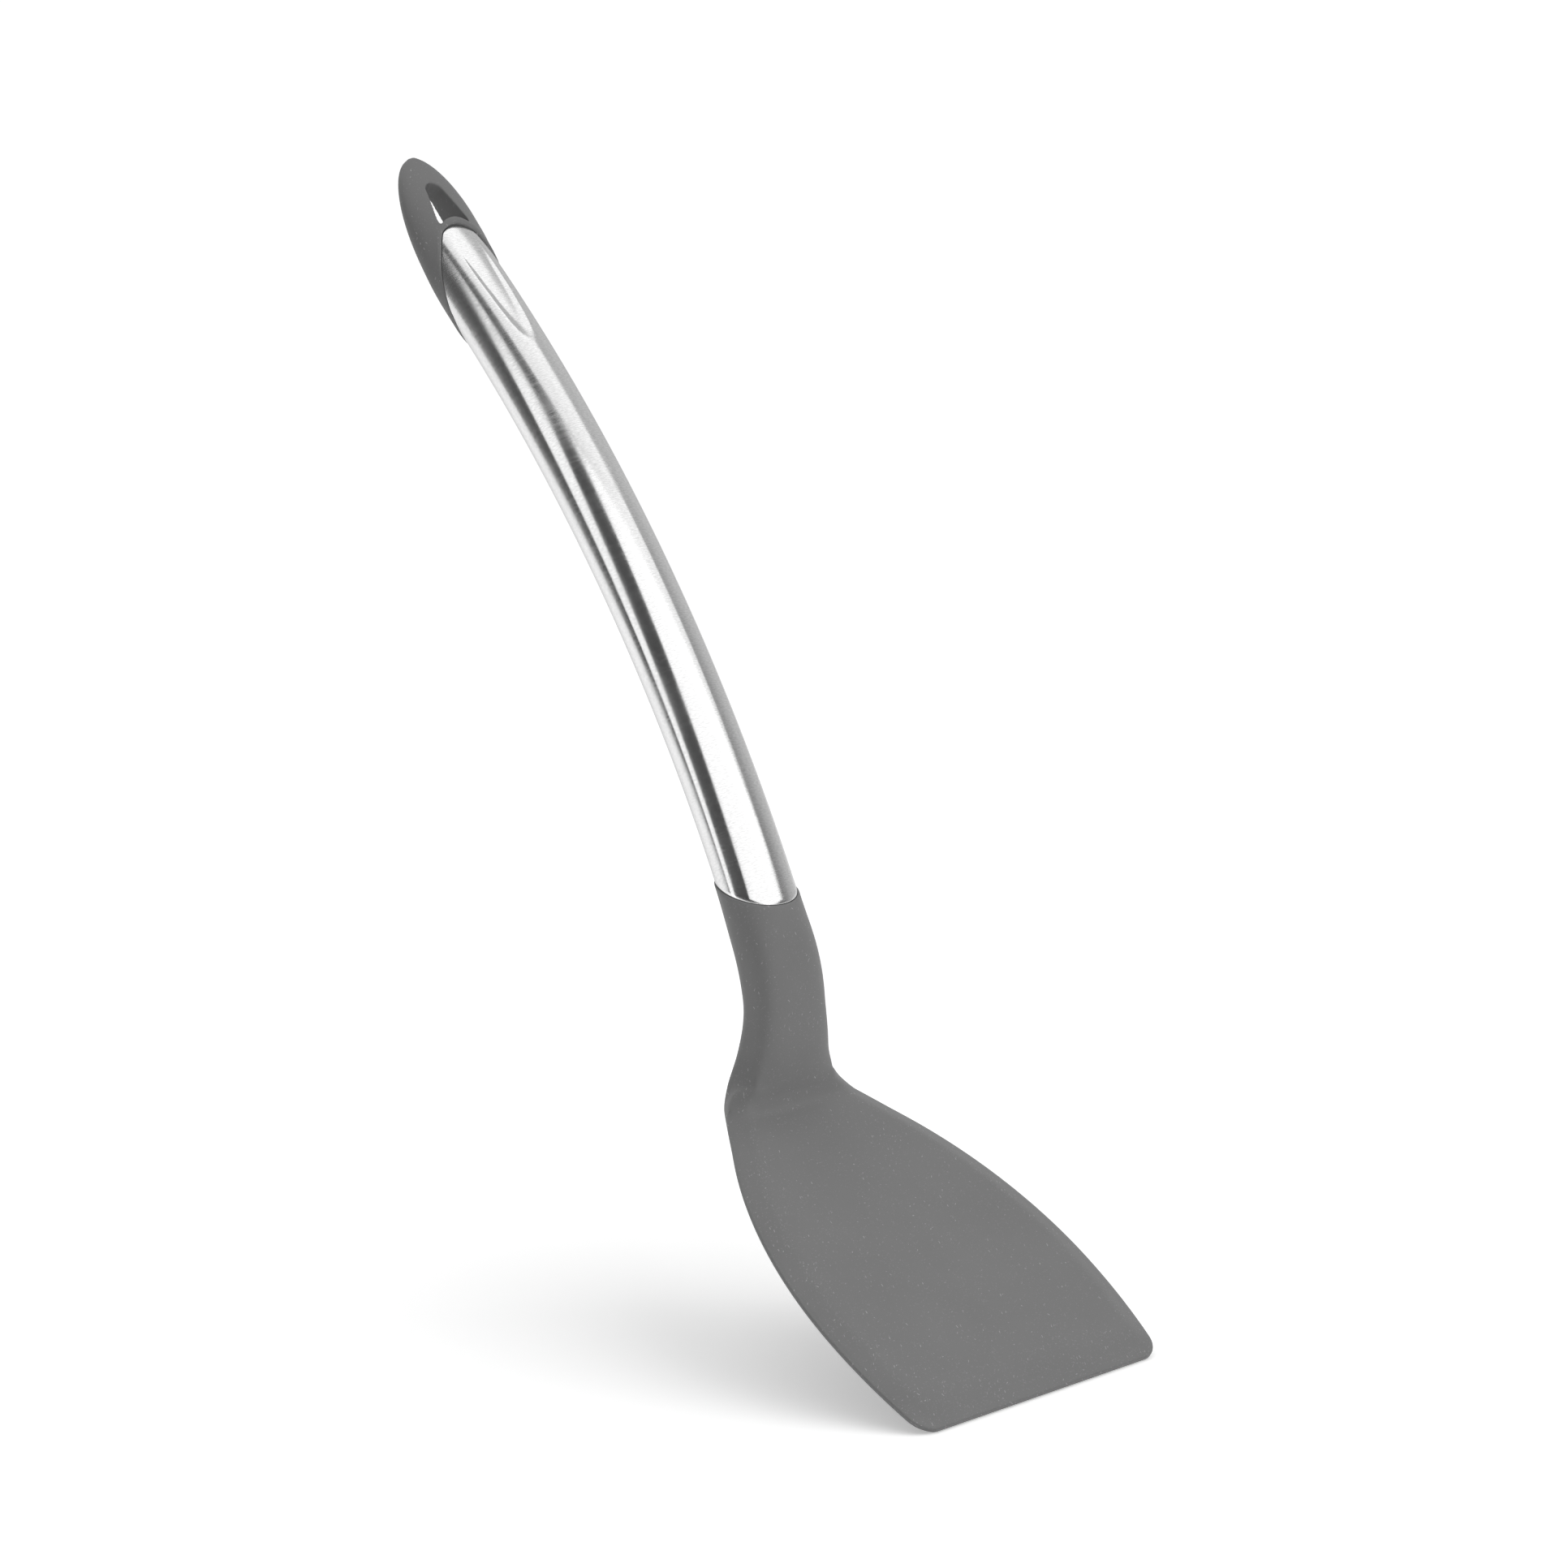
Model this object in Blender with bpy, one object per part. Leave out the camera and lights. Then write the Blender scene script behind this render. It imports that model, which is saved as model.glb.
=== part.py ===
"""Kitchen turner with an offset head: a moulded nylon head and hanging cap on a hollow steel handle.

The pieces are modelled along one curved centre line, the spine, which runs from the front edge of
the blade, up the neck, along the handle and out to the tip of the cap. In that working frame X is
across the turner, Y runs back along the blade and Z is square to the blade. An empty then leans the
whole turner back, so that it stands on the front edge of its blade with the top face towards -Y.
"""

import math

import bmesh
import bpy
import numpy as np
from mathutils import Vector

MM = 0.001

# Stance
BLADE_LEAN = math.radians(33.6)

# Blade, seen from above
BLADE_LENGTH = 93.5 * MM
BLADE_FRONT_WIDTH = 80.0 * MM
BLADE_WIDEST = 87.6 * MM
BLADE_WIDEST_AT = 30.0 * MM
BLADE_SIDE_RADIUS = 96.5 * MM
FRONT_CORNER_RADIUS = 5.0 * MM
SHOULDER_FILLET = 11.0 * MM

# Blade, in section
BLADE_THICKNESS = 2.8 * MM
EDGE_THICKNESS = 1.1 * MM
SIDE_BEVEL = 6.0 * MM
FRONT_BEVEL = 9.0 * MM
BEVEL_SOFTNESS = 0.25

# Heel, where the middle of the blade bends up into the neck and the shoulders stay level
HEEL_BLEND = 3.0 * MM
HEEL_BEND_RADIUS = 7.5 * MM
HEEL_BEND_ANGLE = math.radians(62.2)
HEEL_GUSSET = 0.8 * MM
HEEL_FLARE = 2.0 * MM
HEEL_SWELL_REACH = 18.0 * MM
SHOULDER_SPREAD = 6.0 * MM

# Neck and collar
NECK_STRAIGHT = 6.5 * MM
NECK_BEND_RADIUS = 50.0 * MM
NECK_BEND_ANGLE = math.radians(29.3)
NECK_WIDTH = 21.0 * MM
NECK_THICKNESS = 10.0 * MM
NECK_SQUARENESS = 4.0
COLLAR_LENGTH = 12.2 * MM
COLLAR_PROUD = 0.35 * MM

# Handle tube, an oval that grows a little narrower and deeper towards the cap
HANDLE_RADIUS = 457.0 * MM
TUBE_LENGTH = 161.0 * MM
TUBE_WIDTH = 20.9 * MM
TUBE_DEPTH = 13.4 * MM
TUBE_WIDTH_AT_CAP = 20.3 * MM
TUBE_DEPTH_AT_CAP = 13.6 * MM
TUBE_WALL = 0.8 * MM
HEAD_CUT_ANGLE = math.radians(42.0)
CAP_CUT_ANGLE = math.radians(65.5)
CAP_CUT_BOW = 3.0 * MM
CAP_CUT_BOW_SPAN = 8.0 * MM
SLANT_FADE = 0.4
DISH_LENGTH = 34.0 * MM
DISH_DEPTH = 0.55 * MM
DISH_CROWN_RADIUS = 40.0 * MM

# Plugs inside the tube, each with a groove that holds its adhesive
LAND_LENGTH = 4.0 * MM
TANG_ADHESIVE_LENGTH = 20.0 * MM
CAP_ADHESIVE_LENGTH = 8.0 * MM
ADHESIVE_THICKNESS = 0.5 * MM
PLUG_CHAMFER = 1.2 * MM
FIT_GAP = 0.3 * MM

# Hanging cap
CAP_REACH = 37.5 * MM
CAP_POINT_LENGTH = 22.0 * MM
CAP_SIDE_SWELL = 0.65 * MM
CAP_BACK_SWELL = 0.15 * MM
CAP_SWELL_SHARE = 0.25
CAP_TIP_RISE = 1.4 * MM
CAP_TIP_THICKNESS = 2.0 * MM
CAP_TIP_WIDTH = 3.4 * MM
CAP_SWEEP = 1.65
TONGUE_SQUARENESS = 2.25
LIP_WIDTH = 1.5 * MM
LIP_PROUD = 0.15 * MM
LIP_CREST = 0.6 * MM
LIP_STEP = 0.2 * MM
SLOT_WIDE_AT = 17.6 * MM
SLOT_WIDE_RADIUS = 4.75 * MM
SLOT_NARROW_AT = 26.6 * MM
SLOT_NARROW_RADIUS = 2.6 * MM
SLOT_TO_LIP = 0.1 * MM

# Facets
RING_HALF_STEPS = 18
FLAT_STEPS = 5
BEVEL_STEPS = 5
CORNER_STEPS = 6
BLADE_STEPS = 12
HEEL_STEPS = 16
NECK_STEPS = 14
TUBE_STEPS = 34
LAND_STEPS = 8
GROOVE_STEPS = 3
LIP_STEPS = 3
TIP_STEPS = 14
SLOT_STEPS = 12
DISH_PASSES = 6
SHARP_ANGLE = math.radians(35.0)

# Places along the spine that several pieces share
HEEL_END = BLADE_LENGTH + HEEL_BEND_RADIUS * HEEL_BEND_ANGLE
NECK_START = HEEL_END + NECK_STRAIGHT
HEAD_JOINT = NECK_START + NECK_BEND_RADIUS * NECK_BEND_ANGLE + COLLAR_LENGTH
CAP_JOINT = HEAD_JOINT + TUBE_LENGTH
CAP_TIP = CAP_JOINT + CAP_REACH
HEAD_SHOULDER = HEAD_JOINT - FIT_GAP / math.cos(HEAD_CUT_ANGLE)
CAP_SHOULDER = CAP_JOINT + FIT_GAP / math.cos(CAP_CUT_ANGLE)
HEAD_SLANT = -math.tan(HEAD_CUT_ANGLE)
CAP_SLANT = math.tan(CAP_CUT_ANGLE)
PLUG_INSET = TUBE_WALL + FIT_GAP
GROOVE_INSET = PLUG_INSET + ADHESIVE_THICKNESS + FIT_GAP


def smooth_step(value):
    """Ease from 0 to 1 with level ends."""
    value = min(max(value, 0.0), 1.0)
    return value * value * (3.0 - 2.0 * value)


def steps_between(start, end, count):
    """Evenly spaced values from start to end, both included."""
    return [start + (end - start) * step / count for step in range(count + 1)]


def spine(distance):
    """Give the spine's Y and Z, and its slope, at a distance from the front edge."""
    runs = (
        (BLADE_LENGTH, 0.0),
        (HEEL_BEND_RADIUS * HEEL_BEND_ANGLE, 1.0 / HEEL_BEND_RADIUS),
        (NECK_STRAIGHT, 0.0),
        (NECK_BEND_RADIUS * NECK_BEND_ANGLE, -1.0 / NECK_BEND_RADIUS),
        (math.inf, -1.0 / HANDLE_RADIUS),
    )
    y, z, slope = 0.0, BLADE_THICKNESS / 2, 0.0
    for length, bend in runs:
        step = min(distance, length)
        if bend:
            turned = slope + bend * step
            y += (math.sin(turned) - math.sin(slope)) / bend
            z += (math.cos(slope) - math.cos(turned)) / bend
            slope = turned
        else:
            y += step * math.cos(slope)
            z += step * math.sin(slope)
        distance -= step
        if distance <= 0.0:
            break
    return y, z, slope


def place(x, distance, height):
    """Turn a place across, along and above the spine into a point of the working frame."""
    y, z, slope = spine(distance)
    return Vector((x, y - height * math.sin(slope), z + height * math.cos(slope)))


def cut_shift(x, height, slant):
    """How far along the spine a slanted cut lies at one place, with the bow of the cap's cut."""
    rounded = max(1.0 - (x / CAP_CUT_BOW_SPAN) ** 2, 0.0)
    raised = max(2 * height / TUBE_DEPTH_AT_CAP, 0.0)
    bow = CAP_CUT_BOW * max(slant / CAP_SLANT, 0.0) * rounded * raised
    return slant * height + bow


def mirrored(half):
    """Close a half section, listed from its top centre to its bottom centre, into a whole ring."""
    return half + [(-x, z) for x, z in reversed(half[1:-1])]


def oval(half_width, top, bottom, squareness=2.0):
    """Half section of an oval, or of a rounded oblong where the squareness is above 2."""
    middle = (top + bottom) / 2
    half_depth = (top - bottom) / 2
    half = []
    for step in range(RING_HALF_STEPS + 1):
        angle = math.pi / 2 - math.pi * step / RING_HALF_STEPS
        across = max(math.cos(angle), 0.0) ** (2.0 / squareness)
        up = math.copysign(abs(math.sin(angle)) ** (2.0 / squareness), angle)
        half.append((half_width * across, middle + half_depth * up))
    return half


def skin(name, rings, material, closed=False):
    """Make one solid by skinning rings in order, capped at both ends or closed into a loop."""
    mesh = bmesh.new()
    rows = [[mesh.verts.new(point) for point in ring] for ring in rings]
    pairs = list(zip(rows, rows[1:]))
    if closed:
        pairs.append((rows[-1], rows[0]))
    for first, second in pairs:
        for here in range(len(first)):
            ahead = (here + 1) % len(first)
            mesh.faces.new((first[here], first[ahead], second[ahead], second[here]))
    if not closed:
        mesh.faces.new(reversed(rows[0]))
        mesh.faces.new(rows[-1])
    bmesh.ops.recalc_face_normals(mesh, faces=mesh.faces)
    data = bpy.data.meshes.new(name)
    mesh.to_mesh(data)
    mesh.free()
    data.shade_smooth()
    data.set_sharp_from_angle(angle=SHARP_ANGLE)
    data.materials.append(material)
    piece = bpy.data.objects.new(name, data)
    parts.objects.link(piece)
    piece.parent = stance
    return piece


def finish(name, colour, roughness, metallic=0.0):
    """Principled material for one piece."""
    material = bpy.data.materials.new(name)
    material.use_nodes = True
    shader = material.node_tree.nodes["Principled BSDF"]
    shader.inputs["Base Color"].default_value = (*colour, 1.0)
    shader.inputs["Roughness"].default_value = roughness
    shader.inputs["Metallic"].default_value = metallic
    material.diffuse_color = (*colour, 1.0)
    return material


def blade_half_width(distance):
    """Half width of the blade's outline: two arcs, a rounded front corner and a shoulder fillet.

    Behind the widest place the outline is stretched to run into the neck just where the neck starts.
    """
    widest = BLADE_WIDEST / 2
    ahead = BLADE_WIDEST_AT - distance
    if ahead > 0.0:
        draw_in = widest - BLADE_FRONT_WIDTH / 2
        bend = 2 * draw_in / (BLADE_WIDEST_AT ** 2 + draw_in ** 2)
        half_width = widest - bend * ahead ** 2 / (1.0 + math.sqrt(1.0 - (bend * ahead) ** 2))
        if distance < FRONT_CORNER_RADIUS:
            short = FRONT_CORNER_RADIUS - distance
            half_width += math.sqrt(FRONT_CORNER_RADIUS ** 2 - short ** 2) - FRONT_CORNER_RADIUS
        return half_width

    neck = NECK_WIDTH / 2
    arc_centre = widest - BLADE_SIDE_RADIUS
    reach = BLADE_SIDE_RADIUS + SHOULDER_FILLET
    run_out = math.sqrt(reach ** 2 - (neck + SHOULDER_FILLET - arc_centre) ** 2)
    behind = min(-ahead / (NECK_START - BLADE_WIDEST_AT), 1.0) * run_out
    if behind >= run_out * BLADE_SIDE_RADIUS / reach:
        return neck + SHOULDER_FILLET - math.sqrt(SHOULDER_FILLET ** 2 - (run_out - behind) ** 2)
    return arc_centre + math.sqrt(BLADE_SIDE_RADIUS ** 2 - behind ** 2)


def bevel_height(share):
    """Rise of a bevelled margin, 0 at the edge and 1 on the flat, with a soft shoulder."""
    over = share - 1.0 + BEVEL_SOFTNESS
    if over <= 0.0:
        return share
    if over >= 2 * BEVEL_SOFTNESS:
        return 1.0
    return share - over ** 2 / (4 * BEVEL_SOFTNESS)


def blade_section(distance):
    """Half section of the blade: a flat face that falls to a thin edge along its margins."""
    half_width = blade_half_width(distance)
    margin = 1.0 + BEVEL_SOFTNESS
    side_bevel = min(SIDE_BEVEL, half_width / 3)
    flat = half_width - margin * side_bevel
    underside = -BLADE_THICKNESS / 2
    front_share = bevel_height(margin * distance / FRONT_BEVEL)
    crown = EDGE_THICKNESS + (BLADE_THICKNESS - EDGE_THICKNESS) * front_share
    half = [(flat * step / FLAT_STEPS, underside + crown) for step in range(FLAT_STEPS)]
    for step in range(BEVEL_STEPS + 1):
        share = margin * (1.0 - step / BEVEL_STEPS)
        height = EDGE_THICKNESS + (crown - EDGE_THICKNESS) * bevel_height(share)
        half.append((half_width - share * side_bevel, underside + height))
    under_steps = RING_HALF_STEPS - len(half)
    for step in range(under_steps + 1):
        half.append((half_width * (1.0 - step / under_steps), underside))
    return half


def blend_sections(first, second, share):
    """Mix two half sections point by point."""
    return [(x + (u - x) * share, z + (w - z) * share) for (x, z), (u, w) in zip(first, second)]


def swollen(half, distance):
    """Widen a half section, and thicken its back, where the heel carries the load."""
    swell = smooth_step(1.0 - abs(distance - HEEL_END) / HEEL_SWELL_REACH)
    neck = NECK_WIDTH / 2
    thickened = []
    for x, z in half:
        gusset = HEEL_GUSSET * smooth_step(2.0 - x / neck) if z < 0.0 else 0.0
        flare = HEEL_FLARE * min(x / neck, 1.0)
        thickened.append((x + swell * flare, z - swell * gusset))
    return thickened


def head_ring(half, distance):
    """Ring of the head whose middle follows the bend while its shoulders stay in the blade's plane."""
    ring = []
    for x, z in mirrored(swollen(half, distance)):
        beside = smooth_step((abs(x) - NECK_WIDTH / 2 - HEEL_FLARE) / SHOULDER_SPREAD)
        level = Vector((x, distance, BLADE_THICKNESS / 2 + z))
        ring.append(place(x, distance, z).lerp(level, beside))
    return ring


def tube_half_sizes(distance):
    """Half width and half depth of the tube's outside at a place on the spine."""
    share = math.sqrt(max(distance - HEAD_JOINT, 0.0) / TUBE_LENGTH)
    width = TUBE_WIDTH + (TUBE_WIDTH_AT_CAP - TUBE_WIDTH) * share
    depth = TUBE_DEPTH + (TUBE_DEPTH_AT_CAP - TUBE_DEPTH) * share
    return width / 2, depth / 2


def dish_depth(distance):
    """How far the tube's top is pressed down at a place on the spine."""
    dish_end = CAP_JOINT + CAP_SLANT * TUBE_DEPTH_AT_CAP / 2
    return DISH_DEPTH * smooth_step(1.0 - (dish_end - distance) / DISH_LENGTH)


def cut_places(distance, slant):
    """Where a slanted cut meets the tube's outside: its place on the spine and the dish's height there."""
    half_width, half_depth = tube_half_sizes(distance)
    places = []
    for x, full_height in mirrored(oval(half_width, half_depth, -half_depth)):
        height = full_height
        for _ in range(DISH_PASSES):
            along = distance + cut_shift(x, height, slant)
            pressed_top = half_depth - dish_depth(along) - x ** 2 / (2 * DISH_CROWN_RADIUS)
            height = min(full_height, pressed_top)
        places.append((along, pressed_top))
    return places


def tube_ring(distance, slant, inset=0.0):
    """Ring on the tube's outside, or inset from it, on a cut that slants across the spine.

    Next to the cap the top is pressed down into a flatter leaf, which every inset ring follows.
    """
    half_width, half_depth = tube_half_sizes(distance)
    section = mirrored(oval(half_width - inset, half_depth - inset, inset - half_depth))
    ring = []
    for (x, height), (along, pressed_top) in zip(section, cut_places(distance, slant)):
        ring.append(place(x, along, min(height, pressed_top - inset)))
    return ring


def proud_ring(half, places):
    """Ring of a half section that stands round the tube, point by point over places on the spine."""
    return [place(x, along, z) for (x, z), along in zip(mirrored(half), places)]


def groove_ends(shoulder, slant, adhesive_length, towards):
    """Both ends of a plug's groove, which starts one land inside the far side of the slanted cut."""
    start = shoulder + towards * (abs(slant) * TUBE_DEPTH / 2 + LAND_LENGTH)
    return start, start + towards * (adhesive_length + 2 * FIT_GAP)


def plug_rings(shoulder, slant, adhesive_length, towards):
    """Rings of a plug in the tube, from its shoulder inwards: a land, a groove, a land and a chamfer."""
    groove_start, groove_end = groove_ends(shoulder, slant, adhesive_length, towards)
    chamfer_at = groove_end + towards * LAND_LENGTH
    rings = []
    for share in steps_between(0.0, 1.0, LAND_STEPS):
        distance = shoulder + (groove_start - shoulder) * share
        rings.append(tube_ring(distance, slant * (1.0 - share), PLUG_INSET))
    for distance in steps_between(groove_start, groove_end, GROOVE_STEPS):
        rings.append(tube_ring(distance, 0.0, GROOVE_INSET))
    for distance in steps_between(groove_end, chamfer_at, GROOVE_STEPS):
        rings.append(tube_ring(distance, 0.0, PLUG_INSET))
    rings.append(tube_ring(chamfer_at + towards * PLUG_CHAMFER, 0.0, PLUG_INSET + PLUG_CHAMFER))
    return rings


def make_adhesive(name, shoulder, slant, adhesive_length, towards):
    """Sleeve of cured epoxy in a plug's groove, between the plug and the tube."""
    groove_start, groove_end = groove_ends(shoulder, slant, adhesive_length, towards)
    places = steps_between(groove_start + towards * FIT_GAP, groove_end - towards * FIT_GAP, GROOVE_STEPS)
    outside = [tube_ring(distance, 0.0, PLUG_INSET) for distance in places]
    inside = [tube_ring(distance, 0.0, PLUG_INSET + ADHESIVE_THICKNESS) for distance in reversed(places)]
    return skin(name, outside + inside, finish("cured_epoxy", (0.55, 0.47, 0.30), 0.45), closed=True)


def make_head():
    """Nylon head in one moulding: bevelled blade, bent heel, neck, collar and the tang in the tube."""
    blend_from = BLADE_LENGTH - HEEL_BLEND
    corner_turns = steps_between(0.0, math.pi / 2, CORNER_STEPS)[:-1]
    blade = [FRONT_CORNER_RADIUS * (1.0 - math.cos(turn)) for turn in corner_turns]
    blade += steps_between(FRONT_CORNER_RADIUS, blend_from, BLADE_STEPS)[:-1]
    rings = [head_ring(blade_section(distance), distance) for distance in blade]

    neck_half_depth = NECK_THICKNESS / 2
    for distance in steps_between(blend_from, NECK_START, HEEL_STEPS)[:-1]:
        share = smooth_step((distance - blend_from) / (NECK_START - blend_from))
        neck = oval(blade_half_width(distance), neck_half_depth, -neck_half_depth, NECK_SQUARENESS)
        rings.append(head_ring(blend_sections(blade_section(distance), neck, share), distance))

    tube_half_width, tube_half_depth = tube_half_sizes(HEAD_JOINT)
    for distance in steps_between(NECK_START, HEAD_SHOULDER, NECK_STEPS):
        share = smooth_step((distance - NECK_START) / (HEAD_SHOULDER - NECK_START))
        half_width = NECK_WIDTH / 2 + (tube_half_width + COLLAR_PROUD - NECK_WIDTH / 2) * share
        half_depth = neck_half_depth + (tube_half_depth + COLLAR_PROUD - neck_half_depth) * share
        squareness = NECK_SQUARENESS + (2.0 - NECK_SQUARENESS) * share
        section = swollen(oval(half_width, half_depth, -half_depth, squareness), distance)
        places = [along for along, _ in cut_places(distance, HEAD_SLANT * share)]
        rings.append(proud_ring(section, places))

    rings += plug_rings(HEAD_SHOULDER, HEAD_SLANT, TANG_ADHESIVE_LENGTH, 1.0)
    return skin("turner_head", rings, finish("glass_filled_nylon", (0.18, 0.18, 0.18), 0.55))


def make_tube():
    """Stainless tube: an oval swept along the handle's arc, cut on the slant at both ends."""
    outside = []
    inside = []
    for share in steps_between(0.0, 1.0, TUBE_STEPS):
        distance = HEAD_JOINT + TUBE_LENGTH * share
        near_head = smooth_step(1.0 - share / SLANT_FADE)
        near_cap = smooth_step(1.0 - (1.0 - share) / SLANT_FADE)
        slant = HEAD_SLANT * near_head + CAP_SLANT * near_cap
        outside.append(tube_ring(distance, slant))
        inside.append(tube_ring(distance, slant, TUBE_WALL))
    steel = finish("brushed_stainless", (0.62, 0.62, 0.62), 0.3, 1.0)
    return skin("handle_tube", outside + inside[::-1], steel, closed=True)


def make_cap():
    """Nylon cap: a plug in the tube, a lip round the tube's end and a pointed tongue with a hanging slot."""
    half_width, half_depth = tube_half_sizes(CAP_JOINT)
    lip_half, lip_deep = half_width + LIP_PROUD, half_depth + LIP_PROUD
    lip_start = [along for along, _ in cut_places(CAP_SHOULDER, CAP_SLANT)]
    lip_end = [along + LIP_WIDTH for along in lip_start]
    rings = plug_rings(CAP_SHOULDER, CAP_SLANT, CAP_ADHESIVE_LENGTH, -1.0)[::-1]
    for turn in steps_between(0.0, math.pi / 2, LIP_STEPS):
        lip = oval(lip_half, lip_deep + LIP_CREST * math.sin(turn), -lip_deep)
        moved = LIP_WIDTH * (1.0 - math.cos(turn))
        rings.append(proud_ring(lip, [along + moved for along in lip_start]))

    tongue_start = [along + LIP_STEP for along in lip_end]
    root_top = lip_deep + LIP_CREST - LIP_STEP
    tip_top = half_depth + CAP_TIP_RISE
    tip_bottom = tip_top - CAP_TIP_THICKNESS
    for turn in steps_between(0.0, math.pi / 2, TIP_STEPS)[:-1]:
        swept = math.sin(turn)
        raised = swept ** CAP_SWEEP
        swelling = smooth_step(swept / CAP_SWELL_SHARE)
        body_half = lip_half + CAP_SIDE_SWELL * swelling
        body_deep = lip_deep + CAP_BACK_SWELL * swelling
        places = [along + (CAP_TIP - along) * swept for along in tongue_start]
        past_shoulder = (places[0] + places[RING_HALF_STEPS]) / 2 - CAP_TIP + CAP_POINT_LENGTH
        narrowed = min(max(past_shoulder / CAP_POINT_LENGTH, 0.0), 1.0)
        tongue_half = max(body_half * math.sqrt(1.0 - narrowed ** 2), CAP_TIP_WIDTH / 2)
        top = root_top + (tip_top - root_top) * raised
        bottom = -body_deep + (tip_bottom + body_deep) * raised
        rings.append(proud_ring(oval(tongue_half, top, bottom, TONGUE_SQUARENESS), places))
    cap = skin("hanging_cap", rings, finish("glass_filled_nylon_cap", (0.16, 0.16, 0.16), 0.55))

    cut = cap.modifiers.new("hanging_slot", "BOOLEAN")
    cut.operation = "DIFFERENCE"
    cut.solver = "EXACT"
    cut.object = make_slot_cutter(lip_end)
    return cap


def make_slot_cutter(lip_end):
    """Teardrop cutter for the hanging slot, with the wide end bounded by the arch of the lip."""
    half_width, half_depth = tube_half_sizes(CAP_JOINT)
    quarter = RING_HALF_STEPS // 2 + 1
    lip_across = [x for x, _ in oval(half_width, half_depth, -half_depth)[:quarter]]
    wide_at, narrow_at = CAP_JOINT + SLOT_WIDE_AT, CAP_JOINT + SLOT_NARROW_AT
    square = math.acos((SLOT_WIDE_RADIUS - SLOT_NARROW_RADIUS) / (narrow_at - wide_at))
    outline = []
    for angle in steps_between(-square, square, SLOT_STEPS):
        along = narrow_at + SLOT_NARROW_RADIUS * math.cos(angle)
        outline.append((SLOT_NARROW_RADIUS * math.sin(angle), along))
    for angle in steps_between(square, 2 * math.pi - square, SLOT_STEPS):
        x = SLOT_WIDE_RADIUS * math.sin(angle)
        behind_lip = float(np.interp(abs(x), lip_across, lip_end[:quarter])) + SLOT_TO_LIP
        outline.append((x, max(wide_at + SLOT_WIDE_RADIUS * math.cos(angle), behind_lip)))
    rings = []
    for height in (-TUBE_DEPTH / 2, TUBE_DEPTH):
        rings.append([place(x, along, height) for x, along in outline])
    cutter = skin("slot_cutter", rings, finish("cutter", (1.0, 0.3, 0.1), 0.8))
    parts.objects.unlink(cutter)
    cutters.objects.link(cutter)
    cutter.hide_render = True
    cutter.display_type = "WIRE"
    return cutter


def stand_on_floor():
    """Move the stance so that the turner stands on Z = 0, with its box centred over the origin."""
    bpy.context.view_layer.update()
    depsgraph = bpy.context.evaluated_depsgraph_get()
    points = []
    for piece in parts.objects:
        if piece.type == "MESH":
            shape = piece.evaluated_get(depsgraph)
            points += [shape.matrix_world @ vertex.co for vertex in shape.data.vertices]
    low = [min(point[axis] for point in points) for axis in range(3)]
    high = [max(point[axis] for point in points) for axis in range(3)]
    stance.location = (-(low[0] + high[0]) / 2, -(low[1] + high[1]) / 2, -low[2])
    bpy.context.view_layer.update()


for item in list(bpy.data.objects):
    bpy.data.objects.remove(item, do_unlink=True)

parts = bpy.data.collections.new("offset_turner")
cutters = bpy.data.collections.new("cutters")
bpy.context.scene.collection.children.link(parts)
bpy.context.scene.collection.children.link(cutters)

stance = bpy.data.objects.new("stance", None)
stance.rotation_euler = (BLADE_LEAN, 0.0, 0.0)
parts.objects.link(stance)

make_head()
make_tube()
make_cap()
make_adhesive("head_adhesive", HEAD_SHOULDER, HEAD_SLANT, TANG_ADHESIVE_LENGTH, 1.0)
make_adhesive("cap_adhesive", CAP_SHOULDER, CAP_SLANT, CAP_ADHESIVE_LENGTH, -1.0)
stand_on_floor()
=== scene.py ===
# %% [markdown]
# # A kitchen turner, dressed for the studio
#
# The turner has three pieces that show: a grey nylon head, a curved tube of satin steel and a grey nylon
# cap to hang it by. Two thin sleeves of epoxy hold them together, hidden inside the tube.
#
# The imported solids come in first, as a fixed frame. They are exact, but they are made of flat facets, and
# a bright tube shows every facet. So each solid that shows gets a finer skin, over the same sizes as far as
# it shows, with the small rounded edges, the finish and the flecks that the real pieces have.

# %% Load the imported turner
import math

import bpy
import numpy as np
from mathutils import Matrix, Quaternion, Vector


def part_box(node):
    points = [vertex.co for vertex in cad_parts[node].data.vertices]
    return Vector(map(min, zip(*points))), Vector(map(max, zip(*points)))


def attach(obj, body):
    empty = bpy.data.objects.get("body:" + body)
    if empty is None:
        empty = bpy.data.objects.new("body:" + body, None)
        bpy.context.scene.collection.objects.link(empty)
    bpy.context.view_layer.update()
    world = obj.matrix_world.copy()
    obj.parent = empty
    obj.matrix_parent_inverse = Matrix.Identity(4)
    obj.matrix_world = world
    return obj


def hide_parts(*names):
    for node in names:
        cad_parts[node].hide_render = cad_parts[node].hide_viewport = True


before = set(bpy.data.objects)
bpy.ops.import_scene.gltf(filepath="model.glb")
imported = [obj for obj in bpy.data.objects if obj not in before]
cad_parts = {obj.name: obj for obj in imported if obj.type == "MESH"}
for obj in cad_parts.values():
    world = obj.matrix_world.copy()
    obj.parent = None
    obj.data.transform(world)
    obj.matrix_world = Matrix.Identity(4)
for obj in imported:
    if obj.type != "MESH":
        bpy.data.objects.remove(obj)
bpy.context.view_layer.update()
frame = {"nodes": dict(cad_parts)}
print("solids:", ", ".join(frame["nodes"]))

# %% [markdown]
# ## The centre line
#
# A designer draws such a turner along one line: flat through the blade, a tight bend at the heel, a
# straight bit, an easy bend through the neck, and then one long arc along the handle. Every section of
# every piece is set out from this line, so the line is worked out first. `place` takes a point across,
# along and above the line and gives its place in the room, with the turner leaning on its front edge.

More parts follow.
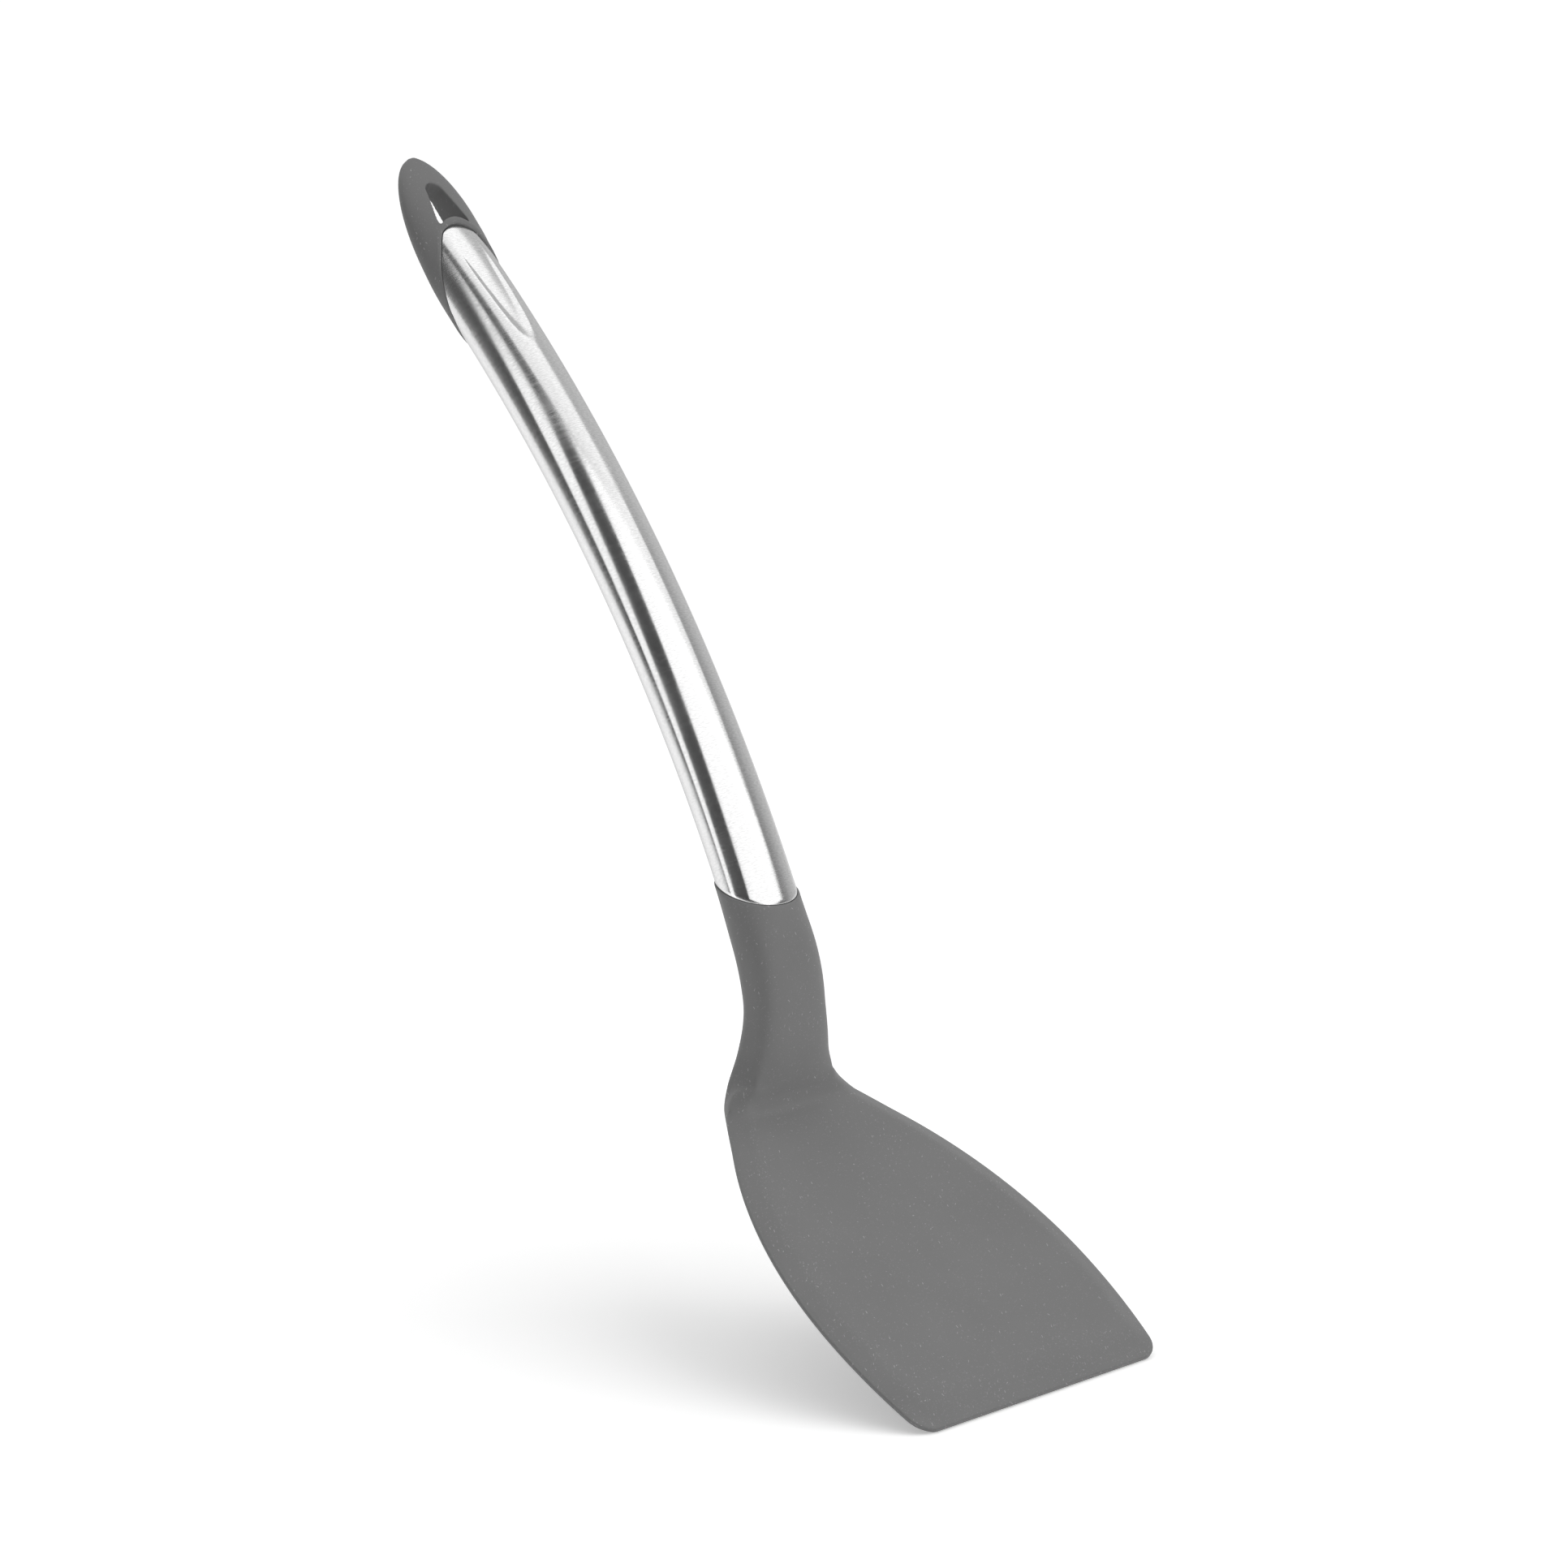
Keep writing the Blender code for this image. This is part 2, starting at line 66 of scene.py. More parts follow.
# %% The line from the front edge to the tip of the cap
MM = 0.001
LEAN = math.radians(33.6)
BLADE_LENGTH = 93.5 * MM
BLADE_THICKNESS = 2.8 * MM
EDGE_THICKNESS = 1.1 * MM
HEEL_RADIUS = 7.5 * MM
HEEL_ANGLE = math.radians(62.2)
NECK_STRAIGHT = 6.5 * MM
NECK_RADIUS = 50.0 * MM
NECK_ANGLE = math.radians(29.3)
HANDLE_RADIUS = 457.0 * MM
front_edge_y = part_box("turner_head")[0][1] + EDGE_THICKNESS * math.sin(LEAN)


def centre_line(distance):
    """Y, Z and slope of the line at a distance from the front edge, with the blade lying flat."""
    runs = (
        (BLADE_LENGTH, 0.0),
        (HEEL_RADIUS * HEEL_ANGLE, 1.0 / HEEL_RADIUS),
        (NECK_STRAIGHT, 0.0),
        (NECK_RADIUS * NECK_ANGLE, -1.0 / NECK_RADIUS),
        (math.inf, -1.0 / HANDLE_RADIUS),
    )
    y, z, slope = 0.0, BLADE_THICKNESS / 2, 0.0
    for length, bend in runs:
        step = min(distance, length)
        if bend:
            turned = slope + bend * step
            y += (math.sin(turned) - math.sin(slope)) / bend
            z += (math.cos(slope) - math.cos(turned)) / bend
            slope = turned
        else:
            y += step * math.cos(slope)
            z += step * math.sin(slope)
        distance -= step
        if distance <= 0.0:
            break
    return y, z, slope


def lean(x, y, z):
    """Stand a point of the lying turner up on the front edge."""
    upright = y * math.sin(LEAN) + z * math.cos(LEAN)
    return Vector((x, front_edge_y + y * math.cos(LEAN) - z * math.sin(LEAN), upright))


def place(x, distance, height):
    """A point across, along and above the centre line, in the room."""
    y, z, slope = centre_line(distance)
    return lean(x, y - height * math.sin(slope), z + height * math.cos(slope))


print("front edge at y =", round(front_edge_y / MM, 2), "mm")

# %% [markdown]
# ## Sections, and a grid that wraps them
#
# The neck changes from a thin leaf to a rounded oblong to an oval. Extruding and scaling a loop can't make
# those changes of shape, so each section is worked out as a ring of points. The skin itself is one of
# Blender's grids: it is added with as many rows as there are sections, each row is laid round its section,
# and merging doubles closes the seam. A grid also brings a UV map, with U round the piece and V along it,
# which the brushed steel needs. A row whose points all meet in one place closes an end.

# %% Helpers for sections and skins
HALF_RING = 48
SEAM_GAP = 0.001 * MM
SHARP_ANGLE = math.radians(40.0)


def ease(value):
    """From 0 to 1 with level ends."""
    value = min(max(value, 0.0), 1.0)
    return value * value * (3.0 - 2.0 * value)


def evenly(start, end, count):
    """Values from start to end in even steps, both included."""
    return [start + (end - start) * step / count for step in range(count + 1)]


def whole(half):
    """A half section, from top centre to bottom centre, mirrored into a ring."""
    return half + [(-x, z) for x, z in reversed(half[1:-1])]


def oval(half_width, top, bottom, squareness=2.0):
    """Half section of an oval, or of a rounded oblong where the squareness is above 2."""
    half = []
    for step in range(HALF_RING + 1):
        angle = math.pi / 2 - math.pi * step / HALF_RING
        across = max(math.cos(angle), 0.0) ** (2.0 / squareness)
        up = math.copysign(abs(math.sin(angle)) ** (2.0 / squareness), angle)
        half.append((half_width * across, (top + bottom) / 2 + (top - bottom) / 2 * up))
    return half


def end_point(ring):
    """A row that closes an end: the ring's middle, once for each of its points."""
    middle = sum(ring, Vector()) / len(ring)
    return [middle] * len(ring)


def wrap_grid(name, rings):
    """Lay the rows of a grid round the rings, and merge the seam and the ends."""
    bpy.ops.object.select_all(action="DESELECT")
    bpy.ops.mesh.primitive_grid_add(x_subdivisions=len(rings[0]), y_subdivisions=len(rings) - 1)
    piece = bpy.context.object
    piece.name = piece.data.name = name
    half = len(rings[0]) // 2
    rows = [ring[half:] + ring[: half + 1] for ring in rings]
    flat = [value for row in rows for point in row for value in point]
    piece.data.vertices.foreach_set("co", flat)
    bpy.ops.object.mode_set(mode="EDIT")
    bpy.ops.mesh.select_all(action="SELECT")
    bpy.ops.mesh.remove_doubles(threshold=SEAM_GAP)
    bpy.ops.mesh.normals_make_consistent(inside=False)
    bpy.ops.object.mode_set(mode="OBJECT")
    bpy.ops.object.shade_smooth_by_angle(angle=SHARP_ANGLE)
    print(name, len(piece.data.polygons), "faces")
    return piece


def dress(piece, node):
    """The finer piece stands for a solid, which is hidden, and hangs from the root body."""
    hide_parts(node)
    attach(piece, "root")


# %% [markdown]
# ## The steel tube
#
# The handle is a stainless tube, rolled to an oval and bent to one long arc. Both ends are cut on the
# slant, the top end much more than the bottom one and with a bowed cut. A shallow dish is pressed into the
# front beside the cap, with a low wall round its lower half. Spinning a circle would make the arc but not
# the slant, so the rings themselves slant, more and more towards each end. The rings run up the outside and
# back down the inside, with three close rings at each end for the edge that a deburring wheel leaves.

# %% Sizes of the tube
HEEL_END = BLADE_LENGTH + HEEL_RADIUS * HEEL_ANGLE
NECK_START = HEEL_END + NECK_STRAIGHT
COLLAR_LENGTH = 12.2 * MM
HEAD_JOINT = NECK_START + NECK_RADIUS * NECK_ANGLE + COLLAR_LENGTH
TUBE_LENGTH = 161.0 * MM
CAP_JOINT = HEAD_JOINT + TUBE_LENGTH
TUBE_WIDTH, TUBE_WIDTH_AT_CAP = 20.9 * MM, 20.3 * MM
TUBE_DEPTH, TUBE_DEPTH_AT_CAP = 13.4 * MM, 13.6 * MM
TUBE_WALL = 0.8 * MM
HEAD_CUT = math.radians(42.0)
CAP_CUT = math.radians(65.5)
HEAD_SLANT, CAP_SLANT = -math.tan(HEAD_CUT), math.tan(CAP_CUT)
CAP_BOW = 3.0 * MM
CAP_BOW_SPAN = 8.0 * MM
SLANT_FADE = 0.4
DISH_END = CAP_JOINT + CAP_SLANT * TUBE_DEPTH_AT_CAP / 2
DISH_LENGTH = 34.0 * MM
DISH_DEPTH = 0.55 * MM
DISH_CROWN = 40.0 * MM
DISH_SOFTNESS = 0.04 * MM
DEPTH_PER_SOFTNESS = 6.0
DISH_STEP = 0.32 * MM
DISH_WALL = 0.24 * MM
DISH_STEP_FADE = 16.0 * MM
DEBURRED_EDGE = 0.2 * MM
CUT_ROUNDS = 6
print("tube", round(TUBE_LENGTH / MM, 1), "mm along its line")


def tube_half_sizes(distance):
    """Half width and half depth of the tube's outside."""
    share = math.sqrt(max(distance - HEAD_JOINT, 0.0) / TUBE_LENGTH)
    width = TUBE_WIDTH + (TUBE_WIDTH_AT_CAP - TUBE_WIDTH) * share
    depth = TUBE_DEPTH + (TUBE_DEPTH_AT_CAP - TUBE_DEPTH) * share
    return width / 2, depth / 2


def dish_depth(distance):
    """How far the front of the tube is pressed in."""
    return DISH_DEPTH * math.sqrt(max(1.0 - (DISH_END - distance) / DISH_LENGTH, 0.0))


def cut_shift(x, height, slant):
    """How far along the line a slanted cut lies at one point, with the bow of the cap's cut."""
    rounded = max(1.0 - (x / CAP_BOW_SPAN) ** 2, 0.0)
    raised = max(2 * height / TUBE_DEPTH_AT_CAP, 0.0)
    return slant * height + CAP_BOW * max(slant / CAP_SLANT, 0.0) * rounded * raised


def softer_of(first, second, softness):
    """The lower of two heights, with the crease between them rounded off."""
    near = max(softness - abs(first - second), 0.0) / softness
    return min(first, second) - near * near * softness / 4


def cut_places(distance, slant):
    """Where a slanted cut meets the tube's outside, and how high the pressed front stands there."""
    half_width, half_depth = tube_half_sizes(distance)
    places = []
    for x, full_height in whole(oval(half_width, half_depth, -half_depth)):
        height = full_height
        for _ in range(CUT_ROUNDS):
            along = distance + cut_shift(x, height, slant)
            pressed = half_depth - dish_depth(along) - x * x / (2 * DISH_CROWN)
            height = min(full_height, pressed)
        places.append((along, pressed))
    return places


def tube_ring(distance, slant, inset=0.0, shift=0.0):
    """A slanted ring on the tube's outside, or inset from it, and shifted along the line."""
    half_width, half_depth = tube_half_sizes(distance)
    section = whole(oval(half_width - inset, half_depth - inset, inset - half_depth))
    ring = []
    for (x, height), (along, pressed) in zip(section, cut_places(distance, slant)):
        softness = DISH_SOFTNESS + dish_depth(along) / DEPTH_PER_SOFTNESS
        step = DISH_STEP * ease((DISH_END - along) / DISH_STEP_FADE)
        sunk = step * ease((height + inset - pressed) / DISH_WALL)
        ring.append(place(x, along + shift, softer_of(height, pressed - inset, softness) - sunk))
    return ring


# %% Wrap the tube
TUBE_RINGS = 150
outside, inside = [], []
for share in evenly(0.0, 1.0, TUBE_RINGS):
    distance = HEAD_JOINT + TUBE_LENGTH * share
    near_head = ease(1.0 - share / SLANT_FADE)
    near_cap = ease(1.0 - (1.0 - share) / SLANT_FADE)
    slant = HEAD_SLANT * near_head + CAP_SLANT * near_cap
    outside.append(tube_ring(distance, slant))
    inside.append(tube_ring(distance, slant, TUBE_WALL))


def deburred(distance, slant, inward):
    """Three close rings round the cut end, from the outside to the end face."""
    turns = (0.0, math.pi / 4, math.pi / 2)
    return [
        tube_ring(
            distance,
            slant,
            DEBURRED_EDGE * (1.0 - math.cos(turn)),
            inward * DEBURRED_EDGE * (1.0 - math.sin(turn)),
        )
        for turn in turns
    ]


head_end = deburred(HEAD_JOINT, HEAD_SLANT, 1.0)
cap_end = deburred(CAP_JOINT, CAP_SLANT, -1.0)
tube_rings = head_end[::-1] + outside[1:-1] + cap_end + inside[::-1]
tube = wrap_grid("satin_steel_tube", tube_rings + tube_rings[:1])
dress(tube, "handle_tube")

# %% [markdown]
# ## The nylon head
#
# The head is one moulding: a leaf-shaped blade with bevelled margins, a heel that bends up into a square
# neck, an oval collar and a plug inside the tube. It is wrapped in the same way, but of the plug, which the
# tube hides, only the start is made. At the heel the middle of each ring follows the bend while the
# shoulders stay flat in the blade's plane. The rim is drawn with its rounded nose in the section itself,
# because a bevel would have to turn the corner between the long thin front and the leaf's sides.

# %% Outline and section of the blade
BLADE_FRONT_WIDTH = 80.0 * MM
BLADE_WIDEST = 87.45 * MM
BLADE_WIDEST_AT = 30.0 * MM
BLADE_SIDE_RADIUS = 96.5 * MM
FRONT_CORNER = 5.0 * MM
SHOULDER_FILLET = 11.0 * MM
SIDE_BEVEL = 6.0 * MM
FRONT_BEVEL = 9.0 * MM
BEVEL_LIMIT = 3
BEVEL_SOFTNESS = 0.25
RIM_ROUND = 0.4 * MM
NECK_WIDTH = 21.0 * MM
FLAT_POINTS, BEVEL_POINTS, RIM_POINTS = 12, 11, 4
print("blade", round(BLADE_WIDEST / MM, 1), "mm at its widest")


def blade_half_width(distance):
    """Half width of the leaf: two arcs, a rounded front corner and a fillet into the neck."""
    widest = BLADE_WIDEST / 2
    ahead = BLADE_WIDEST_AT - distance
    if ahead > 0.0:
        draw_in = widest - BLADE_FRONT_WIDTH / 2
        bend = 2 * draw_in / (BLADE_WIDEST_AT ** 2 + draw_in ** 2)
        half_width = widest - bend * ahead ** 2 / (1.0 + math.sqrt(1.0 - (bend * ahead) ** 2))
        if distance < FRONT_CORNER:
            short = FRONT_CORNER - distance
            half_width += math.sqrt(FRONT_CORNER ** 2 - short ** 2) - FRONT_CORNER
        return half_width
    neck = NECK_WIDTH / 2
    arc_centre = widest - BLADE_SIDE_RADIUS
    reach = BLADE_SIDE_RADIUS + SHOULDER_FILLET
    run_out = math.sqrt(reach ** 2 - (neck + SHOULDER_FILLET - arc_centre) ** 2)
    behind = min(-ahead / (NECK_START - BLADE_WIDEST_AT), 1.0) * run_out
    if behind >= run_out * BLADE_SIDE_RADIUS / reach:
        return neck + SHOULDER_FILLET - math.sqrt(SHOULDER_FILLET ** 2 - (run_out - behind) ** 2)
    return arc_centre + math.sqrt(BLADE_SIDE_RADIUS ** 2 - behind ** 2)


def bevel_height(share):
    """Rise of a bevelled margin from the rim, with a soft shoulder where it meets the flat."""
    over = share - 1.0 + BEVEL_SOFTNESS
    if over <= 0.0:
        return share
    if over >= 2 * BEVEL_SOFTNESS:
        return 1.0
    return share - over ** 2 / (4 * BEVEL_SOFTNESS)


def blade_section(distance):
    """Half section of the blade: flat face, bevelled margin, rounded rim and flat underside."""
    half_width = blade_half_width(distance)
    margin = 1.0 + BEVEL_SOFTNESS
    side_bevel = min(SIDE_BEVEL, half_width / BEVEL_LIMIT)
    nose = RIM_ROUND * (1.0 - math.sqrt(1.0 - max(1.0 - distance / RIM_ROUND, 0.0) ** 2))
    under = -BLADE_THICKNESS / 2 + nose
    edge = EDGE_THICKNESS - 2 * nose
    front_share = bevel_height(margin * distance / FRONT_BEVEL)
    crown = edge + (BLADE_THICKNESS - EDGE_THICKNESS) * front_share
    rim = min(RIM_ROUND, edge / 2)
    flat = half_width - margin * side_bevel
    half = [(flat * step / FLAT_POINTS, under + crown) for step in range(FLAT_POINTS)]
    for step in range(BEVEL_POINTS):
        share = margin + (rim / side_bevel - margin) * step / BEVEL_POINTS
        half.append((half_width - share * side_bevel, under + edge + (crown - edge) * bevel_height(share)))
    for turn in evenly(math.pi / 2, 0.0, RIM_POINTS):
        half.append((half_width - rim + rim * math.cos(turn), under + edge - rim + rim * math.sin(turn)))
    for turn in evenly(0.0, -math.pi / 2, RIM_POINTS):
        half.append((half_width - rim + rim * math.cos(turn), under + rim + rim * math.sin(turn)))
    steps = HALF_RING + 1 - len(half)
    for step in range(1, steps + 1):
        half.append(((half_width - rim) * (1.0 - step / steps), under))
    return half


# %% Rings of the heel, neck and collar
HEEL_BLEND = 3.0 * MM
HEEL_GUSSET = 0.8 * MM
HEEL_FLARE = 2.0 * MM
HEEL_FILLET = 5.0 * MM
HEEL_SWELL = 18.0 * MM
SHOULDER_SPREAD = 6.0 * MM
NECK_THICKNESS = 10.0 * MM
NECK_SQUARENESS = 4.0
COLLAR_PROUD = 0.35 * MM
FIT_GAP = 0.3 * MM
JOINT_LINE = 0.1 * MM
LAND_LENGTH = 4.0 * MM
PLUG_RINGS = 8
PLUG_INSET = TUBE_WALL + FIT_GAP
HEAD_SHOULDER = HEAD_JOINT - JOINT_LINE / math.cos(HEAD_CUT)
print("neck", round((HEAD_SHOULDER - HEEL_END) / MM, 1), "mm from heel to tube")


def heel_front(distance):
    """How high the front stands over the line, with a round fillet from the blade up into the neck."""
    y, z, slope = centre_line(distance)
    end_y, end_z, _ = centre_line(HEEL_END)
    blade_up, neck_up = Vector((0.0, 1.0)), Vector((-math.sin(HEEL_ANGLE), math.cos(HEEL_ANGLE)))
    start, up = Vector((y, z)), Vector((-math.sin(slope), math.cos(slope)))
    neck_face = Vector((end_y, end_z)) + neck_up * NECK_THICKNESS / 2
    corner_y = neck_face.x - (neck_face.y - BLADE_THICKNESS) / math.tan(HEEL_ANGLE)
    middle = Vector((corner_y - HEEL_FILLET * math.tan(HEEL_ANGLE / 2), BLADE_THICKNESS + HEEL_FILLET))
    to_blade = (BLADE_THICKNESS - z) / up.dot(blade_up)
    to_neck = (neck_face - start).dot(neck_up) / up.dot(neck_up)
    away = start - middle
    inside = away.dot(up) ** 2 - away.length_squared + HEEL_FILLET ** 2
    if inside > 0.0:
        to_round = -away.dot(up) - math.sqrt(inside)
        touch = away + up * to_round
        if touch.x > 0.0 and touch.dot(Vector((math.cos(HEEL_ANGLE), math.sin(HEEL_ANGLE)))) < 0.0:
            return to_round
    return max(to_blade, to_neck)


def swollen(half, distance):
    """Widen a half section, thicken its back and fill its front, where the heel carries the load."""
    swell = ease(1.0 - abs(distance - HEEL_END) / HEEL_SWELL)
    near_heel = BLADE_LENGTH - HEEL_SWELL < distance < NECK_START
    fill = heel_front(distance) - half[0][1] if near_heel else 0.0
    neck = NECK_WIDTH / 2
    thick = []
    for x, z in half:
        middle = ease(2.0 - x / neck)
        raised = z - swell * HEEL_GUSSET * middle if z < 0.0 else z + fill * middle
        thick.append((x + swell * HEEL_FLARE * min(x / neck, 1.0), raised))
    return thick


def head_ring(half, distance):
    """A ring whose middle follows the bend while its shoulders stay in the blade's plane."""
    ring = []
    for x, z in whole(swollen(half, distance)):
        beside = ease((abs(x) - NECK_WIDTH / 2 - HEEL_FLARE) / SHOULDER_SPREAD)
        level = lean(x, distance, BLADE_THICKNESS / 2 + z)
        ring.append(place(x, distance, z).lerp(level, beside))
    return ring


def proud_ring(half, places):
    """A ring of a half section that stands round the tube, point by point."""
    return [place(x, along, z) for (x, z), along in zip(whole(half), places)]


def plug_rings(shoulder, slant, towards):
    """The start of the plug inside the tube, from the slanted shoulder to a square end."""
    far = shoulder + towards * (abs(slant) * TUBE_DEPTH / 2 + LAND_LENGTH)
    rings = []
    for share in evenly(0.0, 1.0, PLUG_RINGS):
        rings.append(tube_ring(shoulder + (far - shoulder) * share, slant * (1.0 - share), PLUG_INSET))
    return rings + [end_point(rings[-1])]


# %% Wrap the head
CORNER_RINGS, BLADE_RINGS, HEEL_RINGS, NECK_RINGS, COLLAR_RINGS = 24, 60, 44, 40, 3
COLLAR_ROUND = 0.25 * MM
corner = [FRONT_CORNER * (1.0 - math.cos(turn)) for turn in evenly(0.0, math.pi / 2, CORNER_RINGS)]
blade = corner + evenly(FRONT_CORNER, BLADE_LENGTH - HEEL_BLEND, BLADE_RINGS)[1:]
head_rings = [head_ring(blade_section(distance), distance) for distance in blade]
for distance in evenly(BLADE_LENGTH - HEEL_BLEND, NECK_START, HEEL_RINGS)[1:-1]:
    share = ease((distance - BLADE_LENGTH + HEEL_BLEND) / (NECK_START - BLADE_LENGTH + HEEL_BLEND))
    neck = oval(blade_half_width(distance), NECK_THICKNESS / 2, -NECK_THICKNESS / 2, NECK_SQUARENESS)
    mixed = []
    for (x, z), (u, w) in zip(blade_section(distance), neck):
        mixed.append((x + (u - x) * share, z + (w - z) * share))
    head_rings.append(head_ring(mixed, distance))


def neck_ring(distance, trimmed=0.0, shift=0.0):
    """A ring of the neck, which turns from a rounded oblong into the collar's slanted oval."""
    share = ease((distance - NECK_START) / (HEAD_SHOULDER - NECK_START))
    wide, deep = tube_half_sizes(HEAD_JOINT)
    half_width = NECK_WIDTH / 2 + (wide + COLLAR_PROUD - NECK_WIDTH / 2) * share - trimmed
    half_depth = NECK_THICKNESS / 2 + (deep + COLLAR_PROUD - NECK_THICKNESS / 2) * share - trimmed
    squareness = NECK_SQUARENESS + (2.0 - NECK_SQUARENESS) * share
    section = swollen(oval(half_width, half_depth, -half_depth, squareness), distance)
    return proud_ring(section, [along + shift for along, _ in cut_places(distance, HEAD_SLANT * share)])


neck = evenly(NECK_START, HEAD_SHOULDER - COLLAR_ROUND, NECK_RINGS)
head_rings += [neck_ring(distance) for distance in neck]
for turn in evenly(0.0, math.pi / 2, COLLAR_RINGS)[1:]:
    trimmed = COLLAR_ROUND * (1.0 - math.cos(turn))
    head_rings.append(neck_ring(HEAD_SHOULDER, trimmed, COLLAR_ROUND * (math.sin(turn) - 1.0)))
head_rings += plug_rings(HEAD_SHOULDER, HEAD_SLANT, 1.0)
head = wrap_grid("glass_nylon_head", [end_point(head_rings[0])] + head_rings)
dress(head, "turner_head")

# %% [markdown]
# ## The hanging cap
#
# The cap is a second nylon moulding. Its plug sits in the tube, a raised lip follows the slanted end of the
# steel, and the rest draws out into a pointed tongue that curls forward, with a teardrop slot for a hook.
# The body is wrapped like the head, again with only the start of the plug. The slot is cut with a boolean,
# because it goes right through a curved piece. A mould leaves no sharp edge, so the cut cap is remeshed into
# fine even squares and smoothed, which rounds the slot's rim, the lip and the tip alike.

# %% Wrap the body of the cap
CAP_SHOULDER = CAP_JOINT + JOINT_LINE / math.cos(CAP_CUT)
CAP_LENGTH = 37.4 * MM
CAP_TIP = CAP_JOINT + CAP_LENGTH
CAP_POINT = 22.0 * MM
CAP_SIDES = 0.8 * MM
CAP_BACK = 0.3 * MM
CAP_SWELL = 0.25
CAP_TIP_TOP = 8.2 * MM
CAP_TIP_THICKNESS = 2.0 * MM
CAP_TIP_WIDTH = 3.4 * MM
CAP_SWEEP = 1.65
TONGUE_SQUARENESS = 2.25
LIP_WIDTH = 1.5 * MM
LIP_FLUSH = 0.15 * MM
LIP_CREST = 0.6 * MM
LIP_STEP = 0.2 * MM
LIP_RINGS, TONGUE_RINGS = 6, 48
steel_wide, steel_deep = tube_half_sizes(CAP_JOINT)
lip_wide, lip_deep = steel_wide + LIP_FLUSH, steel_deep + LIP_FLUSH
lip_start = [along for along, _ in cut_places(CAP_SHOULDER, CAP_SLANT)]
lip_end = [along + LIP_WIDTH for along in lip_start]
cap_rings = plug_rings(CAP_SHOULDER, CAP_SLANT, -1.0)[::-1]
for turn in evenly(0.0, math.pi / 2, LIP_RINGS):
    band = oval(lip_wide, lip_deep + LIP_CREST * math.sin(turn), -lip_deep)
    swept = 1.0 - math.cos(turn)
    cap_rings.append(proud_ring(band, [along + LIP_WIDTH * swept for along in lip_start]))
root_top, tip_bottom = lip_deep + LIP_CREST - LIP_STEP, CAP_TIP_TOP - CAP_TIP_THICKNESS
for turn in evenly(0.0, math.pi / 2, TONGUE_RINGS)[:-1]:
    swept = math.sin(turn)
    raised = swept ** CAP_SWEEP
    swollen_share = ease(swept / CAP_SWELL)
    places = [along + LIP_STEP + (CAP_TIP - along - LIP_STEP) * swept for along in lip_end]
    past = (places[0] + places[HALF_RING]) / 2 - CAP_TIP + CAP_POINT
    narrowed = min(max(past / CAP_POINT, 0.0), 1.0)
    body_half = lip_wide + (CAP_SIDES - LIP_FLUSH) * swollen_share
    body_deep = lip_deep + (CAP_BACK - LIP_FLUSH) * swollen_share
    tongue_half = max(body_half * math.sqrt(1.0 - narrowed ** 2), CAP_TIP_WIDTH / 2)
    top = root_top + (CAP_TIP_TOP - root_top) * raised
    bottom = -body_deep + (tip_bottom + body_deep) * raised
    cap_rings.append(proud_ring(oval(tongue_half, top, bottom, TONGUE_SQUARENESS), places))
cap = wrap_grid("glass_nylon_cap", cap_rings + [end_point(cap_rings[-1])])

# %% Shape the slot
SLOT_WIDE_RADIUS, SLOT_WIDE_AT = 4.75 * MM, CAP_JOINT + 17.6 * MM
SLOT_NARROW_RADIUS, SLOT_NARROW_AT = 2.6 * MM, CAP_JOINT + 26.6 * MM
SLOT_TO_LIP = 0.1 * MM
SLOT_RINGS = 6
front = range(HALF_RING // 2)
lip_across = [oval(steel_wide, steel_deep, -steel_deep)[step][0] for step in front]
lip_arch = [lip_end[step] + SLOT_TO_LIP for step in front]
square = math.acos((SLOT_WIDE_RADIUS - SLOT_NARROW_RADIUS) / (SLOT_NARROW_AT - SLOT_WIDE_AT))
slot = []
for angle in evenly(-square, square, HALF_RING // 2):
    along = SLOT_NARROW_AT + SLOT_NARROW_RADIUS * math.cos(angle)
    slot.append((SLOT_NARROW_RADIUS * math.sin(angle), along))
for angle in evenly(square, 2 * math.pi - square, HALF_RING):
    x = SLOT_WIDE_RADIUS * math.sin(angle)
    behind_lip = float(np.interp(abs(x), lip_across, lip_arch))
    slot.append((x, max(SLOT_WIDE_AT + SLOT_WIDE_RADIUS * math.cos(angle), behind_lip)))
slot_rings = []
for height in evenly(-TUBE_DEPTH / 2, TUBE_DEPTH, SLOT_RINGS):
    slot_rings.append([place(x, along, height) for x, along in slot])
slot_rings = [end_point(slot_rings[0])] + slot_rings + [end_point(slot_rings[-1])]
cutter = wrap_grid("slot_cutter", slot_rings)

# %% Cut the slot and round every edge
MOULD_ROUNDING = 0.22 * MM
SMOOTH_SHARE, SMOOTH_ROUNDS = 0.5, 8
cut = cap.modifiers.new("slot", "BOOLEAN")
cut.operation, cut.solver, cut.object = "DIFFERENCE", "EXACT", cutter
squares = cap.modifiers.new("even squares", "REMESH")
squares.mode, squares.voxel_size, squares.use_smooth_shade = "VOXEL", MOULD_ROUNDING, True
rounding = cap.modifiers.new("mould rounding", "SMOOTH")
rounding.factor, rounding.iterations = SMOOTH_SHARE, SMOOTH_ROUNDS
bpy.ops.object.select_all(action="DESELECT")
cap.select_set(True)
bpy.context.view_layer.objects.active = cap
for modifier in ("slot", "even squares", "mould rounding"):
    bpy.ops.object.modifier_apply(modifier=modifier)
bpy.data.objects.remove(cutter)
dress(cap, "hanging_cap")
print(cap.name, len(cap.data.polygons), "faces after remeshing")

# %% [markdown]
# ## The camera
#
# The photograph looks down a little on the turner, from its front left. The numbers come from fitting a
# camera to the outline in the picture: its direction, its distance and a long lens that keeps the
# perspective mild.

